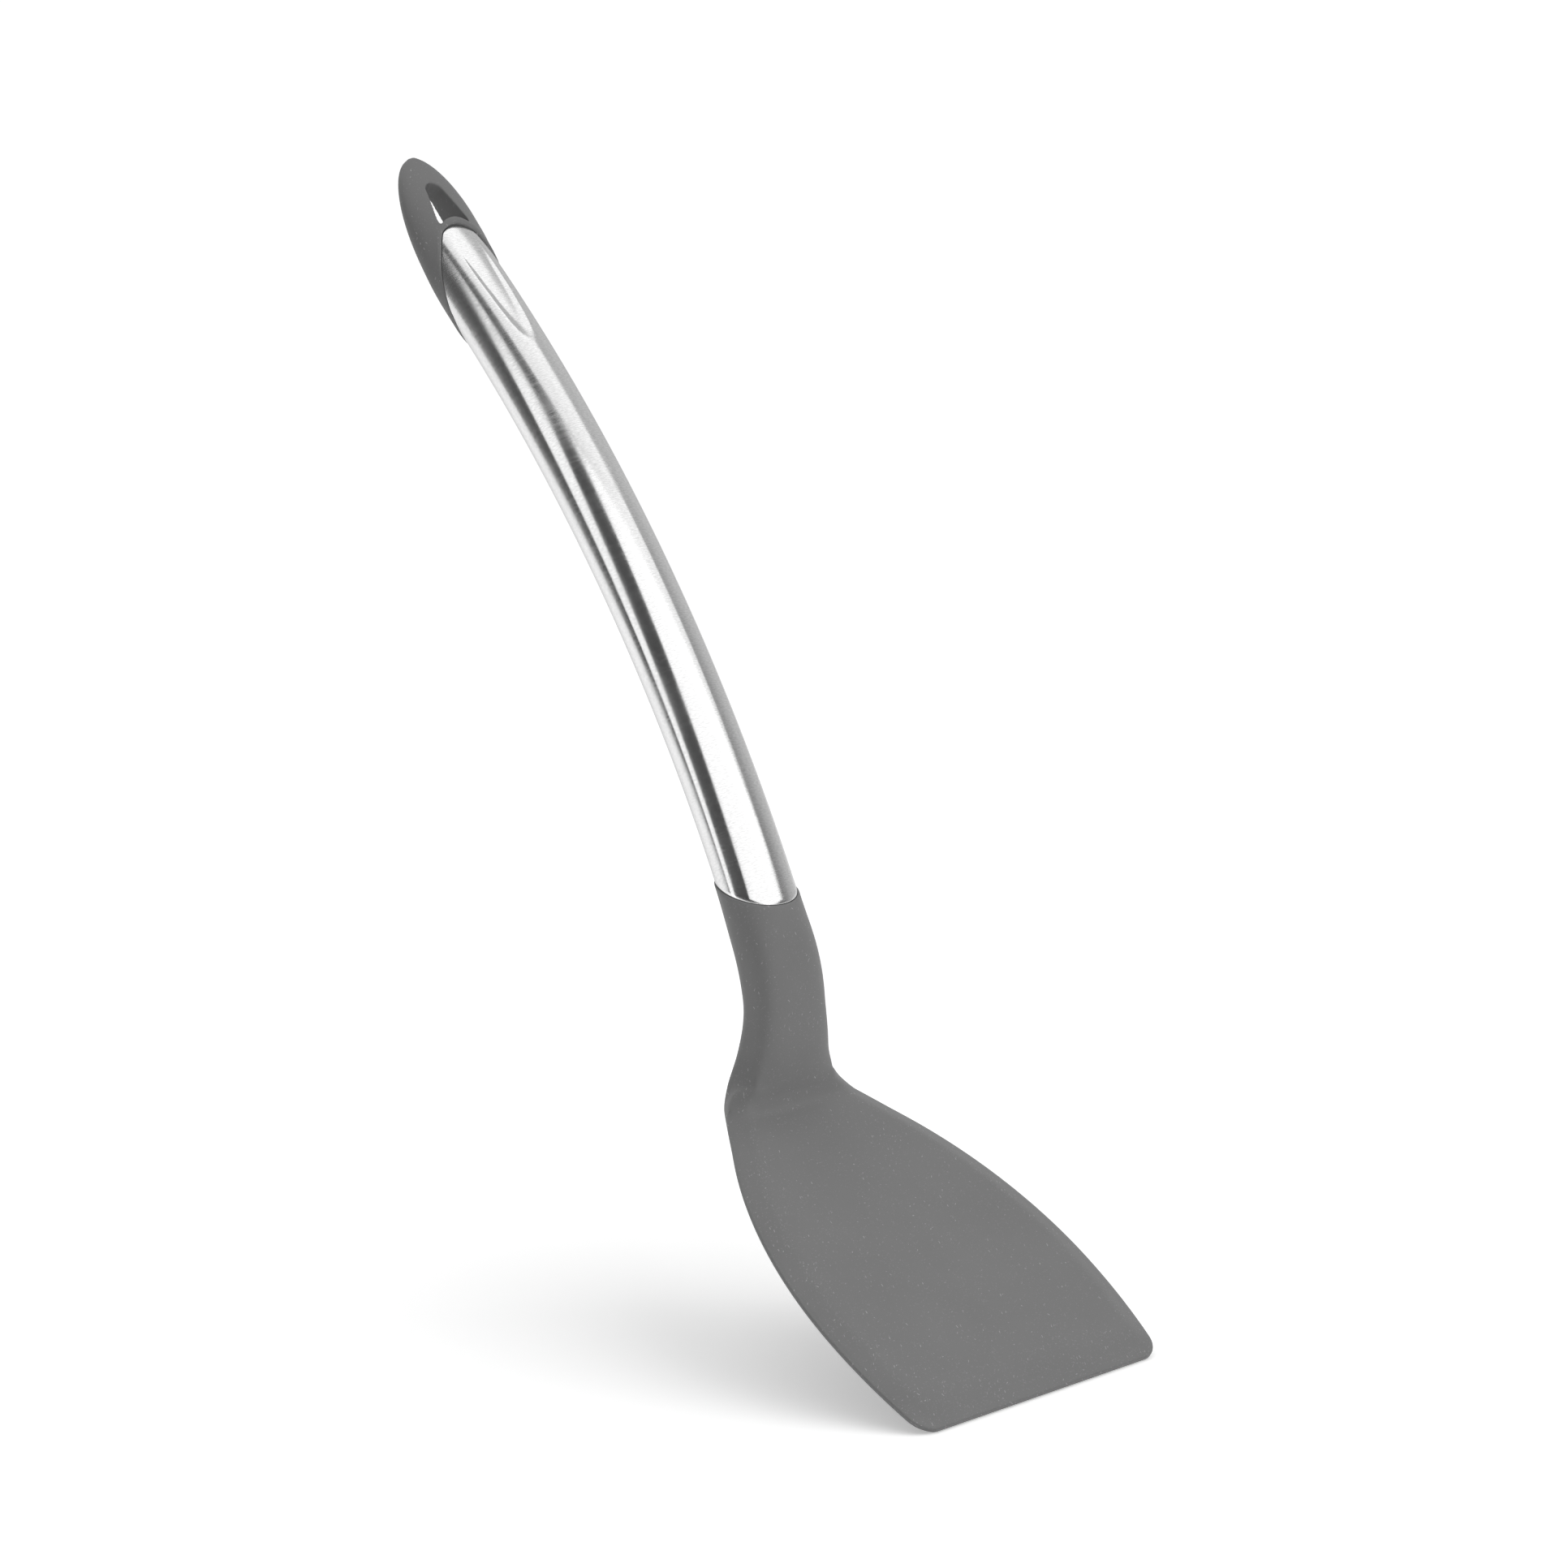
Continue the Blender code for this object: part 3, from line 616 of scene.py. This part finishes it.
# %% Set the camera
CAMERA_AZIMUTH, CAMERA_ELEVATION = -46.412, 10.864
CAMERA_DISTANCE = 1.1
CAMERA_TARGET = Vector((0.0, front_edge_y + 79.905 * MM, 127.775 * MM))
CAMERA_LENS, SENSOR_WIDTH = 110.475, 36.0


def way_to(azimuth, elevation):
    """The way from the turner at an azimuth and an elevation in degrees, with azimuth 0 to its front."""
    turn, rise = math.radians(azimuth), math.radians(elevation)
    return Vector((math.sin(turn) * math.cos(rise), -math.cos(turn) * math.cos(rise), math.sin(rise)))


towards_camera = way_to(CAMERA_AZIMUTH, CAMERA_ELEVATION)
bpy.ops.object.camera_add(
    location=CAMERA_TARGET + CAMERA_DISTANCE * towards_camera,
    rotation=towards_camera.to_track_quat("Z", "Y").to_euler(),
)
camera = bpy.context.object
camera.name = "photo_camera"
camera.data.lens = CAMERA_LENS
camera.data.sensor_width = SENSOR_WIDTH
bpy.context.scene.camera = camera
print("camera at", [round(value, 3) for value in camera.location])

# %% [markdown]
# ## A node helper
#
# Every finish below is a small tree of nodes. One helper adds a node, sets its properties and then fills
# each input: with a plain value, or with a link when it is given another node or one of its outputs.
# Colours are written as the hex that a picture shows, so they are turned into the linear light that a
# shader works in.

# %% Helpers for materials
MATHS, VECTORS, RANGE = "ShaderNodeMath", "ShaderNodeVectorMath", "ShaderNodeMapRange"
NOISE, VORONOI, MIX = "ShaderNodeTexNoise", "ShaderNodeTexVoronoi", "ShaderNodeMix"
PLACES, MAPPING, BUMP = "ShaderNodeTexCoord", "ShaderNodeMapping", "ShaderNodeBump"
PRINCIPLED, OUTPUT = "ShaderNodeBsdfPrincipled", "ShaderNodeOutputMaterial"


def linear(hex_colour):
    """A hex colour as a picture shows it, in linear light with full alpha."""
    channels = [int(hex_colour[at : at + 2], 16) / 255 for at in (1, 3, 5)]
    curve = [c / 12.92 if c <= 0.04045 else ((c + 0.055) / 1.055) ** 2.4 for c in channels]
    return (*curve, 1.0)


def add_node(tree, kind, inputs=None, **settings):
    """Add a node with its settings. An input takes a value, another node or one of its outputs."""
    added = tree.nodes.new(kind)
    for name, value in settings.items():
        setattr(added, name, value)
    for name, value in (inputs or {}).items():
        if isinstance(value, bpy.types.Node):
            value = next(output for output in value.outputs if output.enabled)
        if isinstance(value, bpy.types.NodeSocket):
            tree.links.new(value, added.inputs[name])
        else:
            added.inputs[name].default_value = value
    return added


def new_material(name):
    """An empty material and its tree of nodes."""
    material = bpy.data.materials.new(name)
    material.use_nodes = True
    material.node_tree.nodes.clear()
    return material, material.node_tree


# %% [markdown]
# ## The floor
#
# The turner stands on white paper that fills the picture. The paper is a very wide disc. It is a plain
# diffuse white that takes the soft shadow, and it glows a little for the camera and in mirror-like
# reflections, more and more away from the turner, so that it turns to the clean white of the photograph
# without a stronger lamp on the turner. Its glow is weakest round the turner's shadow, which darkens the
# paper there: that part of the shadow is painted shadow.

# %% Lay the floor
# Paper is matt, so the eye sees no gloss on it, only the soft shadow. Its glow is weakest at one point
# beside the turner, which paints shadow there, darker than the lamps make it. The glow rises in two easy
# steps, the first within FLOOR_BESIDE of that point and the second on to FLOOR_FAR, so that no edge shows.
FLOOR_RADIUS, FLOOR_CORNERS = 300.0, 128
# painted shadow: the middle of the darker patch, where the paper's glow is lowest
FLOOR_PAINTED_SHADOW_AT = (0.0, -0.03, 0.0)
FLOOR_BESIDE, FLOOR_FAR = 0.2, 0.8
FLOOR_GLOW_AT_PAINTED_SHADOW, FLOOR_GLOW_BESIDE, FLOOR_GLOW_FAR = 0.22, 0.2, 0.3
bpy.ops.mesh.primitive_circle_add(vertices=FLOOR_CORNERS, radius=FLOOR_RADIUS, fill_type="NGON")
floor = bpy.context.object
floor.name = "white_paper_floor"
paper, tree = new_material("white_paper_glow_painted_shadow")
floor.data.materials.append(paper)
where = add_node(tree, PLACES).outputs["Object"]
reach = add_node(tree, VECTORS, {0: where, 1: FLOOR_PAINTED_SHADOW_AT}, operation="DISTANCE")
first_step = {
    "Value": reach,
    "From Max": FLOOR_BESIDE,
    "To Min": FLOOR_GLOW_AT_PAINTED_SHADOW,
    "To Max": FLOOR_GLOW_AT_PAINTED_SHADOW + FLOOR_GLOW_BESIDE,
}
beside = add_node(tree, RANGE, first_step, interpolation_type="SMOOTHSTEP")
second_step = {
    "Value": reach,
    "From Min": FLOOR_BESIDE / 2,
    "From Max": FLOOR_FAR,
    "To Max": FLOOR_GLOW_FAR,
}
far = add_node(tree, RANGE, second_step, interpolation_type="SMOOTHSTEP")
# the glow is lowest near the turner, which paints shadow round it on the paper
glow = add_node(tree, MATHS, {0: beside, 1: far}, operation="ADD")
ray = add_node(tree, "ShaderNodeLightPath").outputs
seen = add_node(tree, MATHS, {0: ray["Is Camera Ray"], 1: ray["Is Glossy Ray"]}, operation="ADD")
through = {0: seen, 1: ray["Is Transmission Ray"]}
seen = add_node(tree, MATHS, through, operation="ADD", use_clamp=True)
strength = add_node(tree, MATHS, {0: seen, 1: glow}, operation="MULTIPLY")
lit = add_node(tree, "ShaderNodeBsdfDiffuse", {"Color": linear("#fafafa")})
glowing = add_node(tree, "ShaderNodeEmission", {"Strength": strength})
both = add_node(tree, "ShaderNodeAddShader", {0: lit, 1: glowing})
add_node(tree, OUTPUT, {"Surface": both})
print(floor.name, "of", paper.name, "with", len(tree.nodes), "nodes")

# %% [markdown]
# ## The light
#
# The steel is a curved mirror, and its stripes are a map of the studio. Read that way, the light seems to
# come from a broad softbox in front, a long strip that leans on the left, a wide strip almost overhead and
# a pale room behind the turner, with a dark room in front, round the camera. Only these are set up here,
# with numbers fitted to those stripes, partly by a program. Each lamp is given by the
# brightness that the steel sees, and its power follows from its area.

# %% Set the lamps
def softbox(name, azimuth, elevation, roll, distance, width, height, brightness):
    """An area lamp at a distance from the turner's middle that faces it."""
    way = way_to(azimuth, elevation)
    facing = way.to_track_quat("Z", "Y")
    facing.rotate(Quaternion(way, math.radians(roll)))
    bpy.ops.object.light_add(
        type="AREA",
        location=CAMERA_TARGET + way * distance,
        rotation=facing.to_euler(),
    )
    lamp = bpy.context.object
    lamp.name = lamp.data.name = name
    lamp.data.shape = "RECTANGLE"
    lamp.data.size, lamp.data.size_y = width, height
    lamp.data.energy = brightness * math.pi * width * height
    lamp.visible_camera = False
    print(name, round(lamp.data.energy, 2), "W")


softbox(
    "broad_softbox",
    azimuth=11.5,
    elevation=30.1,
    roll=40.4,
    distance=0.45,
    width=0.58,
    height=0.5,
    brightness=1.28,
)
softbox(
    "leaning_strip",
    azimuth=-84.0,
    elevation=33.7,
    roll=78.3,
    distance=0.45,
    width=0.83,
    height=0.144,
    brightness=1.15,
)
softbox(
    "overhead_strip",
    azimuth=135.0,
    elevation=74.7,
    roll=-4.7,
    distance=0.5,
    width=1.757,
    height=0.334,
    brightness=0.85,
)

# %% Light the room from behind
# The room brightens by how far a direction points the way of ROOM_LIGHT_FROM: 1 is that way, -1 the other.
ROOM_LIGHT, ROOM_DARK = 1.14, 0.1
ROOM_LIGHT_FROM = Vector((0.53, 0.848, 0.0))
ROOM_DARK_UNTIL, ROOM_LIGHT_AT = -0.569, 1.172
world = bpy.data.worlds.new("studio_room")
world.use_nodes = True
world.node_tree.nodes.clear()
bpy.context.scene.world = world
tree = world.node_tree
where = add_node(tree, PLACES).outputs["Generated"]
behind = add_node(tree, VECTORS, {0: where, 1: ROOM_LIGHT_FROM}, operation="DOT_PRODUCT")
brighter = {
    "Value": behind,
    "From Min": ROOM_DARK_UNTIL,
    "From Max": ROOM_LIGHT_AT,
    "To Min": ROOM_DARK,
    "To Max": ROOM_LIGHT,
}
pale = add_node(tree, RANGE, brighter, interpolation_type="SMOOTHSTEP")
room = add_node(tree, "ShaderNodeBackground", {"Strength": pale})
add_node(tree, "ShaderNodeOutputWorld", {"Surface": room})
bpy.context.scene.view_settings.view_transform = "Standard"
print(world.name, "from", ROOM_DARK, "to", ROOM_LIGHT)

# %% [markdown]
# ## Satin stainless steel
#
# The tube is brushed with a belt that runs round it, so fine scratches lie across its length. They need a
# map of the tube: U once round, and V along the handle's arc in metres. The grid brought U. V follows from
# each point's angle about the middle of the arc, so that the scratches stay square to the tube where the
# ends are cut on the slant.

# %% Map the tube
arc_start = NECK_START + NECK_RADIUS * NECK_ANGLE
arc_y, arc_z, arc_slope = centre_line(arc_start)
arc_y += HANDLE_RADIUS * math.sin(arc_slope)
arc_z -= HANDLE_RADIUS * math.cos(arc_slope)


def lying(point):
    """The Y and Z that a point of the room has with the blade lying flat."""
    back, up = point.y - front_edge_y, point.z
    return back * math.cos(LEAN) + up * math.sin(LEAN), up * math.cos(LEAN) - back * math.sin(LEAN)


TUBE_GIRTH = 54.0 * MM
tube_map = tube.data.uv_layers.active
for loop, corner in zip(tube.data.loops, tube_map.data):
    y, z = lying(tube.data.vertices[loop.vertex_index].co)
    slope = math.atan2(arc_y - y, z - arc_z)
    corner.uv = (corner.uv.x * TUBE_GIRTH, arc_start + (arc_slope - slope) * HANDLE_RADIUS)
print(tube_map.name, "from", round(arc_start / MM, 1), "mm along the line")

# %% Satin steel, belt-brushed round the tube
# The scratches spread each highlight along the handle and break its edges into short streaks. Real ones are
# some hundredths of a millimetre wide. They are drawn coarser, or they wouldn't show.
SCRATCH_LENGTH, SCRATCH_WIDTH = 9.0 * MM, 0.28 * MM
SPECKLE_LENGTH = 4 * SCRATCH_WIDTH
WORN_PER_METRE = 60.0
NOISE_LOW, NOISE_HIGH = 0.3, 0.7
STEEL_SMOOTH, STEEL_ROUGH = 0.14, 0.22
WORN_SMOOTHER, WORN_ROUGHER = -0.02, 0.03
SCRATCH_STRENGTH, SCRATCH_DEPTH = 0.12, 0.01 * MM
steel, tree = new_material("satin_steel_brushed_round")
surface = add_node(tree, "ShaderNodeUVMap", uv_map=tube_map.name)
streaks = {"Vector": surface, "Scale": (1 / SCRATCH_LENGTH, 1 / SCRATCH_WIDTH, 1.0)}
streaks = {"Vector": add_node(tree, MAPPING, streaks), "Scale": 1.0, "Detail": 3.0, "Roughness": 0.65}
scratches = add_node(tree, NOISE, streaks, noise_dimensions="2D")
dots = {"Vector": surface, "Scale": (1 / SPECKLE_LENGTH, 1 / SCRATCH_WIDTH, 1.0)}
dots = {"Vector": add_node(tree, MAPPING, dots), "Scale": 1.0, "Detail": 1.0}
speckle = add_node(tree, NOISE, dots, noise_dimensions="2D")
patches = {"Vector": surface, "Scale": WORN_PER_METRE, "Detail": 2.0}
worn = add_node(tree, NOISE, patches, noise_dimensions="2D")
spread = {"From Min": NOISE_LOW, "From Max": NOISE_HIGH}
brushed = {"Value": scratches, **spread, "To Min": STEEL_SMOOTH, "To Max": STEEL_ROUGH}
handled = {"Value": worn, **spread, "To Min": WORN_SMOOTHER, "To Max": WORN_ROUGHER}
rough = {0: add_node(tree, RANGE, brushed), 1: add_node(tree, RANGE, handled)}
rough = add_node(tree, MATHS, rough, operation="ADD")
tones = {"Factor": speckle, "A": linear("#cecece"), "B": linear("#f0f0f0")}
tone = add_node(tree, MIX, tones, data_type="RGBA")
ridges = add_node(tree, MATHS, {0: scratches, 1: speckle}, operation="ADD")
scratched = {"Height": ridges, "Strength": SCRATCH_STRENGTH, "Distance": SCRATCH_DEPTH}
relief = add_node(tree, BUMP, scratched)
satin = {
    "Base Color": tone,
    "Metallic": 1.0,
    "Roughness": rough,
    "Normal": relief,
    "Specular Tint": linear("#d8d8d8"),
    "Anisotropic": 0.8,
    "Anisotropic Rotation": 0.25,
}
shader = add_node(tree, PRINCIPLED, satin)
add_node(tree, OUTPUT, {"Surface": shader})
tube.data.materials.append(steel)
print(tube.name, "of", steel.name, "with", len(tree.nodes), "nodes")

# %% [markdown]
# ## Glass-filled nylon
#
# The head and the cap are moulded in grey nylon with short glass fibres in it. The mould gives a fine matt
# grain. Where a fibre lies just under the skin it shows as a pale fleck, a dot or a dash up to a millimetre
# long, and the flow of the melt gathers more of them along the rim and the front of the blade. Each fleck
# is drawn in one cell of a Voronoi pattern: the cell's colour, which is random, gives the way the fibre
# lies and its length, and the distance from that short line gives the fleck.

# %% Where the flecks gather on the head
GATHER_WIDTH = 2.2 * MM
FRONT_SHARE, FRONT_REACH = 0.7, 1.6
gather = head.data.attributes.new("near_rim", "FLOAT", "POINT")
for vertex, share in zip(head.data.vertices, gather.data):
    y, _ = lying(vertex.co)
    if 0.0 <= y < BLADE_LENGTH:
        inside_rim = blade_half_width(y) - abs(vertex.co.x)
        shoulder = 1.0 - abs(inside_rim - SIDE_BEVEL) / GATHER_WIDTH
        share.value = max(ease(shoulder), FRONT_SHARE * ease(FRONT_REACH - y / FRONT_BEVEL))
print(gather.name, "on", len(gather.data), "points of", head.name)

# %% Moulded nylon with glass fibres
# Fine grain breaks up the sheen, and the flecks keep the grey from looking painted. Lengths are in mm. A
# real glass fibre is about 0.01 mm thick, so its fleck is drawn coarser, or it wouldn't show.
CELLS_PER_MM = 0.8
BENDS_PER_MM, FIBRE_BEND = 0.9, 0.5
FIBRE_LENGTH = 0.3
FIBRE_SOFT, FIBRE_HARD = 0.13, 0.04
FIBRE_DEPTH = 0.55
FLECK_FAINT, FLECK_BRIGHT = 0.12, 0.42
DUST_PER_MM, DUST_SIZE, DUST_BRIGHT = 2.2, 0.16, 0.2
CLUSTERS_PER_MM, CLOUDS_PER_MM, GRAIN_PER_MM = 0.12, 0.05, 2.6
GRAIN_SHARE, GRAIN_STRENGTH, GRAIN_HEIGHT = 0.4, 0.3, 0.05 * MM
NYLON_SMOOTH, NYLON_ROUGH = 0.44, 0.6


def nylon(name, dark, pale, fleck_share, rim_share):
    """Grey nylon between two tones, with a share of the cells flecked, and a bigger one near the rim."""
    material, tree = new_material(name)
    where = add_node(tree, PLACES).outputs["Object"]
    normal = add_node(tree, "ShaderNodeNewGeometry").outputs["Normal"]
    in_mm = add_node(tree, VECTORS, {0: where, "Scale": 1 / MM}, operation="SCALE")
    # a slow noise bends the straight fibres
    bends = add_node(tree, NOISE, {"Vector": in_mm, "Scale": BENDS_PER_MM, "Detail": 1.0}).outputs["Color"]
    bent = add_node(tree, VECTORS, {0: bends, 1: [FIBRE_BEND] * 3, 2: in_mm}, operation="MULTIPLY_ADD")
    cells = add_node(tree, VORONOI, {"Vector": bent, "Scale": CELLS_PER_MM})
    chance = add_node(tree, "ShaderNodeSeparateColor", {0: cells.outputs["Color"]})
    # the way from the cell's middle, within the surface and above it
    away = add_node(tree, VECTORS, {0: bent, 1: cells.outputs["Position"]}, operation="SUBTRACT")
    height = add_node(tree, VECTORS, {0: away, 1: normal}, operation="DOT_PRODUCT")
    lifted = add_node(tree, VECTORS, {0: normal, "Scale": height}, operation="SCALE")
    flat = add_node(tree, VECTORS, {0: away, 1: lifted}, operation="SUBTRACT")
    # the fibre's own direction and length, and the distance from it
    spread = add_node(tree, VECTORS, {0: cells.outputs["Color"], 1: [0.5] * 3}, operation="SUBTRACT")
    across = add_node(tree, VECTORS, {0: normal, 1: spread}, operation="CROSS_PRODUCT")
    fibre = add_node(tree, VECTORS, {0: across}, operation="NORMALIZE")
    reach = add_node(tree, MATHS, {0: chance.outputs[0], 1: FIBRE_LENGTH}, operation="MULTIPLY")
    other_end = add_node(tree, MATHS, {0: reach, 1: -1.0}, operation="MULTIPLY")
    along = add_node(tree, VECTORS, {0: flat, 1: fibre}, operation="DOT_PRODUCT")
    along = add_node(tree, MATHS, {0: along, 1: reach}, operation="MINIMUM")
    along = add_node(tree, MATHS, {0: along, 1: other_end}, operation="MAXIMUM")
    nearest = add_node(tree, VECTORS, {0: fibre, "Scale": along}, operation="SCALE")
    beside = add_node(tree, VECTORS, {0: flat, 1: nearest}, operation="DISTANCE")
    edge = {"Value": beside, "From Min": FIBRE_SOFT, "From Max": FIBRE_HARD}
    fleck = add_node(tree, RANGE, edge, interpolation_type="SMOOTHSTEP")
    deep = add_node(tree, MATHS, {0: height}, operation="ABSOLUTE")
    deep = add_node(tree, RANGE, {"Value": deep, "From Min": FIBRE_DEPTH, "From Max": FIBRE_DEPTH / 3})
    fleck = add_node(tree, MATHS, {0: fleck, 1: deep}, operation="MULTIPLY")
    # how many cells show one: more near the rim, and in clusters, whose noise averages a half
    rim = add_node(tree, "ShaderNodeAttribute", attribute_name="near_rim").outputs["Fac"]
    share = add_node(tree, RANGE, {"Value": rim, "To Min": 2 * fleck_share, "To Max": 2 * rim_share})
    clusters = add_node(tree, NOISE, {"Vector": in_mm, "Scale": CLUSTERS_PER_MM, "Detail": 2.0})
    share = add_node(tree, MATHS, {0: share, 1: clusters}, operation="MULTIPLY")
    shown = add_node(tree, MATHS, {0: chance.outputs[1], 1: share}, operation="LESS_THAN")
    fleck = add_node(tree, MATHS, {0: fleck, 1: shown}, operation="MULTIPLY")
    bright = {"Value": chance.outputs[2], "To Min": FLECK_FAINT, "To Max": FLECK_BRIGHT}
    fleck = add_node(tree, MATHS, {0: fleck, 1: add_node(tree, RANGE, bright)}, operation="MULTIPLY")
    # finer dust between the fibres
    dust = add_node(tree, VORONOI, {"Vector": in_mm, "Scale": DUST_PER_MM})
    drawn = add_node(tree, "ShaderNodeSeparateColor", {0: dust.outputs["Color"]})
    speck = {"Value": dust.outputs["Distance"], "From Min": DUST_SIZE * DUST_PER_MM, "From Max": 0.0}
    speck = add_node(tree, RANGE, {**speck, "To Max": DUST_BRIGHT})
    dusted = add_node(tree, MATHS, {0: drawn.outputs[0], 1: share}, operation="LESS_THAN")
    speck = add_node(tree, MATHS, {0: speck, 1: dusted}, operation="MULTIPLY")
    fleck = add_node(tree, MATHS, {0: fleck, 1: speck}, operation="MAXIMUM")
    # the grey itself, with a fine grain and slow clouds
    clouds = add_node(tree, NOISE, {"Vector": in_mm, "Scale": CLOUDS_PER_MM, "Detail": 3.0})
    grain = add_node(tree, NOISE, {"Vector": in_mm, "Scale": GRAIN_PER_MM, "Detail": 2.0})
    blotch = add_node(tree, MIX, {"Factor": GRAIN_SHARE, "A": clouds, "B": grain})
    tones = {"Factor": blotch, "A": linear(dark), "B": linear(pale)}
    grey = add_node(tree, MIX, tones, data_type="RGBA")
    flecked = {"Factor": fleck, "A": grey, "B": linear("#dcdcdc")}
    colour = add_node(tree, MIX, flecked, data_type="RGBA")
    rough = add_node(tree, RANGE, {"Value": grain, "To Min": NYLON_SMOOTH, "To Max": NYLON_ROUGH})
    bumps = {"Height": grain, "Strength": GRAIN_STRENGTH, "Distance": GRAIN_HEIGHT}
    relief = add_node(tree, BUMP, bumps)
    finish = {"Base Color": colour, "Roughness": rough, "Normal": relief}
    shader = add_node(tree, PRINCIPLED, finish)
    add_node(tree, OUTPUT, {"Surface": shader})
    print(name, "with", len(tree.nodes), "nodes")
    return material


head_nylon = nylon("glass_nylon_matt_moulded", "#727272", "#808080", fleck_share=0.25, rim_share=0.6)
cap_nylon = nylon("glass_nylon_cap_matt_moulded", "#6b6b6b", "#7a7a7a", fleck_share=0.2, rim_share=0.2)
head.data.materials.append(head_nylon)
cap.data.materials.append(cap_nylon)

# %% [markdown]
# ## Cured epoxy
#
# Two thin sleeves of epoxy hold the mouldings in the tube. They can't be seen from outside, but a library
# part may be taken apart, so they get an amber finish with a cloudy tone and small trapped bubbles.

# %% Cured epoxy, clouded and bubbled
# The clouds and the pits of the bubbles show that it was poured and set in place.
EPOXY_CLOUDS_PER_METRE, BUBBLES_PER_METRE = 160.0, 900.0
BUBBLE_STRENGTH, BUBBLE_DEPTH = 0.4, 0.1 * MM
epoxy, tree = new_material("cured_epoxy_cast_in_place")
where = add_node(tree, PLACES).outputs["Object"]
clouds = add_node(tree, NOISE, {"Vector": where, "Scale": EPOXY_CLOUDS_PER_METRE, "Detail": 3.0})
bubbles = add_node(tree, VORONOI, {"Vector": where, "Scale": BUBBLES_PER_METRE}).outputs["Distance"]
tones = {"Factor": clouds, "A": linear("#a8843c"), "B": linear("#d6bd86")}
amber = add_node(tree, MIX, tones, data_type="RGBA")
pitted = {"Height": bubbles, "Strength": BUBBLE_STRENGTH, "Distance": BUBBLE_DEPTH}
pits = add_node(tree, BUMP, pitted)
shader = add_node(tree, PRINCIPLED, {"Base Color": amber, "Roughness": 0.3, "Normal": pits})
add_node(tree, OUTPUT, {"Surface": shader})
for node in ("head_adhesive", "cap_adhesive"):
    sleeve = frame["nodes"][node]
    sleeve.data.materials.clear()
    sleeve.data.materials.append(epoxy)
    print(node, "of", epoxy.name, "with", len(tree.nodes), "nodes")
